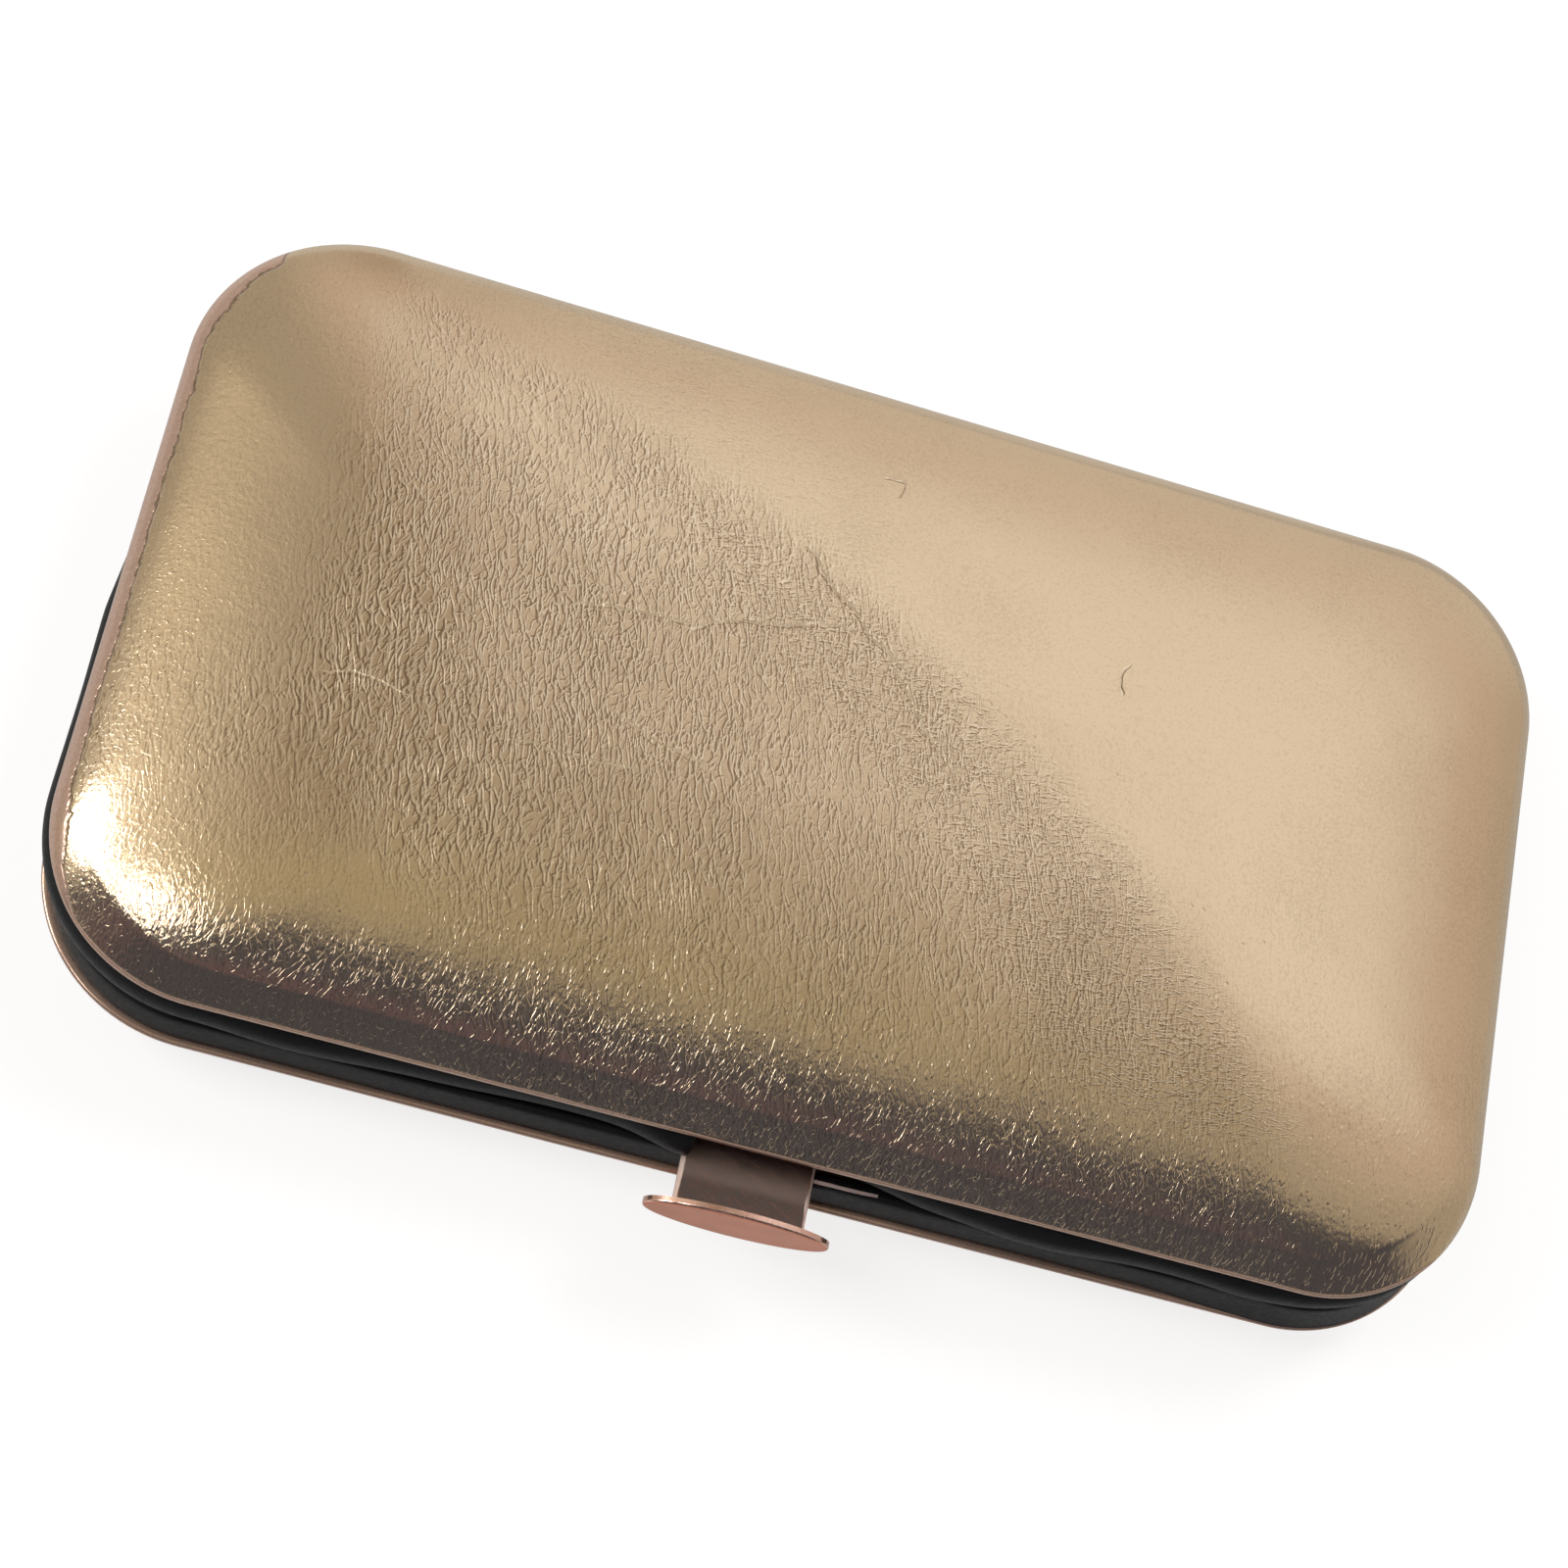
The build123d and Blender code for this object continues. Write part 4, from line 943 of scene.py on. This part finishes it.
def clothLining(side):
    form, name = liningForm, side + "_lining_cloth"
    section = np.array(form.section + form.section[:1])
    below = section[:, 1] - form.stretchFrom
    stretched = below * (caseForm.faceDrop[side] - form.faceGap) / below.max()
    section[:, 1] = np.where(below > 0, form.stretchFrom + stretched, section[:, 1])
    right = (atFront(form.frontGap), atBack(form.rearGap))
    left = (atBack(-form.rearGap), atFront(-form.frontGap))
    strips = []
    for start, end in (right, left):
        strip, across, row = gridPiece(name, form.around, len(section) - 1)
        inset, height = section[row, 0], section[row, 1]
        edgeX, edgeY, outX, outY = rimEdge(start + (end - start) * across)
        waved = (height > form.waveFrom) * (height < form.waveTo)
        inset = inset + form.wave * lumps(edgeX, edgeY, form.waveSize, form.waveSeed) * waved
        shapeGrid(strip, edgeX - inset * outX, edgeY - inset * outY + setBack[side],
                  caseForm.parting + outward[side] * height)
        closeSkin(strip, caps=True)
        strips.append(strip)
    pick(*strips)
    bpy.ops.object.join()
    lining = strips[0]
    lining.name = lining.data.name = name
    dress(lining, finishes["lining_cloth"])
    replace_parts(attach(lining, side), side + "_lining")


clothLining("lid")
clothLining("base")
print("trays and linings done")

# a sliver of the frame's plate beside the clasp, its free end drawn back and bent down a little
tongueForm = Form(
    start=(6.5, -38.74, -0.35), end=(12.8, -38.44, 0.02), cuts=3, bevel=0.05, smoothAngle=40,
    bendFrom=9, bendLength=3.6, drawnBack=0.12, bentDown=0.1,
    tones=((0.74, 0.57, 0.53), (0.84, 0.68, 0.64)), roughness=(0.25, 0.4),
)


def frameTongue(form):
    tongue = primitive("cube", "frame_tongue", size=1)
    parting = Vector((0, 0, caseForm.parting))
    low, high = parting + Vector(form.start), parting + Vector(form.end)
    tongue.data.transform(Matrix.Translation((low + high) / 2 * mm) @ Matrix.Diagonal((*((high - low) * mm), 1)))
    wholeMesh()
    bpy.ops.mesh.subdivide(number_cuts=form.cuts)
    bpy.ops.object.mode_set(mode="OBJECT")
    for vertex in tongue.data.vertices:
        t = max(0, (vertex.co.x / mm - form.bendFrom) / form.bendLength)
        vertex.co.y += form.drawnBack * mm * t * t
        vertex.co.z -= form.bentDown * mm * t * t
    applyModifier(tongue, "BEVEL", width=form.bevel * mm, segments=2)
    bpy.ops.object.shade_smooth_by_angle(angle=math.radians(form.smoothAngle))
    dress(tongue, mouldedPlastic("polished plate edge", *form.tones, form.roughness, 0))
    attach(tongue, "base")


frameTongue(tongueForm)

# floor, light and camera; a step is where along x, y or z it starts and ends, and its values there
studio = Form(
    wall=(0.42, 0.39, 0.34), wallGap=(0.295, 0.245, 0.185), skylight=(0.87, 0.86, 0.85),
    blush=(0.58, 0.47, 0.42), olive=(0.43, 0.39, 0.26), glow=(0.77, 0.715, 0.59),
    shade=(0.074, 0.078, 0.104), shadeGlow=(0.15, 0.106, 0.136), paper=(1, 1, 1),
    skySide=(0.72, 0.69, 0), skyStep=(0.235, 0.455), skyHorizon=(0.25, 0.85, 0.2, 1),
    skyLow=(-0.05, 0.27), skyRight=(0.35, 0.75, 1, 0.84),
    glowFrom=(-0.62, 0.08, 0.77), glowStep=(0.87, 0.98), bandReach=0.22, bandRight=(0.18, 0.36, 1, 0),
    gapAt=-0.1, gapStep=(0.02, 0.15, 1, 0), gapBack=(0, 0.15),
    dawnAt=0.45, dawnReach=0.5, dawnTop=0.7,
    backStep=(0.48, 0.8, 0, 0.36), backRight=(-0.06, 0.07),
    shadeStep=(-0.11, -0.23), shadeLeft=-0.55, shadeLean=0.5, shadeRight=(0.84, 0.96, 1, 0),
    shadeFoot=(-0.02, 0.1), shadeGlowAt=-0.52, shadeGlowReach=0.14, shadeGlowRight=(0.1, 0.45, 1, 0.15),
    floorSize=4, floorGloss=(60, 90, 0.4, 0.28), floorTone=(0.75, 0.75, 0.75),
    floorMirrored=(0.3, 0.3, 0.3), floorLight=0.8,
    # name, direction, distance, size, power, whether it shows in mirrors
    lamps=(("left lamp", (-0.74, -0.03, 0.67), 0.8, 0.34, 2, True),
           ("small left lamp", (-0.42, -0.18, 0.88), 0.8, 0.14, 0.35, True),
           ("back softbox", (0.42, 0.5, 0.76), 1.2, 0.5, 5, False)),
)
cameraView = Form(
    place=(-0.0524, -0.1266, 0.3043), right=(0.9528, 0.188, 0.2385), up=(-0.264, 0.9011, 0.344),
    lens=76.14, sensor=36, nearest=0.01,
)


def dimWorld(look):
    world = bpy.data.worlds.new("studio")
    bpy.context.scene.world = world
    world.use_nodes = True
    tree = world.node_tree
    tree.nodes.clear()
    direction = put(tree, "TexCoord").outputs["Generated"]
    x, y, z = axes(direction)
    # a bright wall at the right and the back, a warm lamp's glow at the left, and shade in front
    sky = fade(calcVector("DOT_PRODUCT", direction, look.skySide), *look.skyStep)
    sky = times(sky, fade(z, *look.skyHorizon), fade(y, *look.skyLow), fade(x, *look.skyRight))
    lampWay = tuple(Vector(look.glowFrom).normalized())
    lampGlow = fade(calcVector("DOT_PRODUCT", direction, lampWay), *look.glowStep)
    band = times(peak(y, look.bandReach), fade(x, *look.bandRight))
    gap = fade(calc("ABSOLUTE", minus(x, look.gapAt)), *look.gapStep)
    wall = blend(times(gap, fade(y, *look.gapBack)), look.wall, look.wallGap)
    colour = blend(band, blend(lampGlow, wall, look.glow), blend(lampGlow, look.olive, look.glow))
    dawn = peak(minus(sky, look.dawnAt), look.dawnReach, look.dawnTop)
    colour = blend(dawn, blend(sky, colour, look.skylight), look.blush)
    colour = blend(times(fade(y, *look.backStep), fade(x, *look.backRight)), colour, look.skylight)
    leftward = calc("MAXIMUM", minus(look.shadeLeft, x), 0)
    shade = fade(plus(y, times(leftward, look.shadeLean)), *look.shadeStep)
    shade = times(shade, fade(x, *look.shadeRight), fade(z, *look.shadeFoot))
    glow = times(peak(minus(y, look.shadeGlowAt), look.shadeGlowReach), fade(x, *look.shadeGlowRight))
    colour = blend(shade, colour, blend(glow, look.shade, look.shadeGlow))
    path = put(tree, "LightPath").outputs
    seen = calc("MAXIMUM", path["Is Camera Ray"], path["Is Transmission Ray"])
    background = put(tree, "Background", {"Color": blend(seen, colour, look.paper)})
    plug(background.outputs[0], put(tree, "OutputWorld").inputs[0])


def paleFloor(look):
    floor = primitive("plane", "floor", size=look.floorSize)
    material, shader, flat = paint("white paper")
    path = put(flat.id_data, "LightPath").outputs
    direct = calc("MAXIMUM", path["Is Camera Ray"], path["Is Transmission Ray"])
    seen = calc("MAXIMUM", direct, times(path["Is Glossy Ray"], fade(axes(flat)[0], *look.floorGloss)))
    mirrored = calc("MAXIMUM", direct, path["Is Glossy Ray"])
    light = {"Emission Color": look.paper, "Emission Strength": times(seen, look.floorLight)}
    tune(shader, blend(mirrored, look.floorTone, look.floorMirrored), 1, 0, light, specular=0)
    dress(floor, material)


def softLamp(name, direction, distance, size, power, mirrored):
    lamp = bpy.data.lights.new(name, "AREA")
    lamp.shape, lamp.size, lamp.energy = "DISK", size, power
    holder = addObject(name, lamp)
    holder.location = Vector(direction).normalized() * distance
    holder.rotation_euler = Vector(direction).to_track_quat("Z", "Y").to_euler()
    holder.visible_glossy = mirrored


def placeCamera(look):
    camera = bpy.data.cameras.new("camera")
    camera.lens, camera.sensor_width, camera.clip_start = look.lens, look.sensor, look.nearest
    holder = addObject("camera", camera)
    right = Vector(look.right).normalized()
    up = Vector(look.up)
    up = (up - right * up.dot(right)).normalized()
    turn = Matrix((right, up, right.cross(up))).transposed().to_4x4()
    holder.matrix_world = Matrix.Translation(look.place) @ turn
    bpy.context.scene.camera = holder


dimWorld(studio)
paleFloor(studio)
for lampForm in studio.lamps:
    softLamp(*lampForm)
placeCamera(cameraView)
bpy.context.scene.view_settings.view_transform = "Standard"
print("studio done")
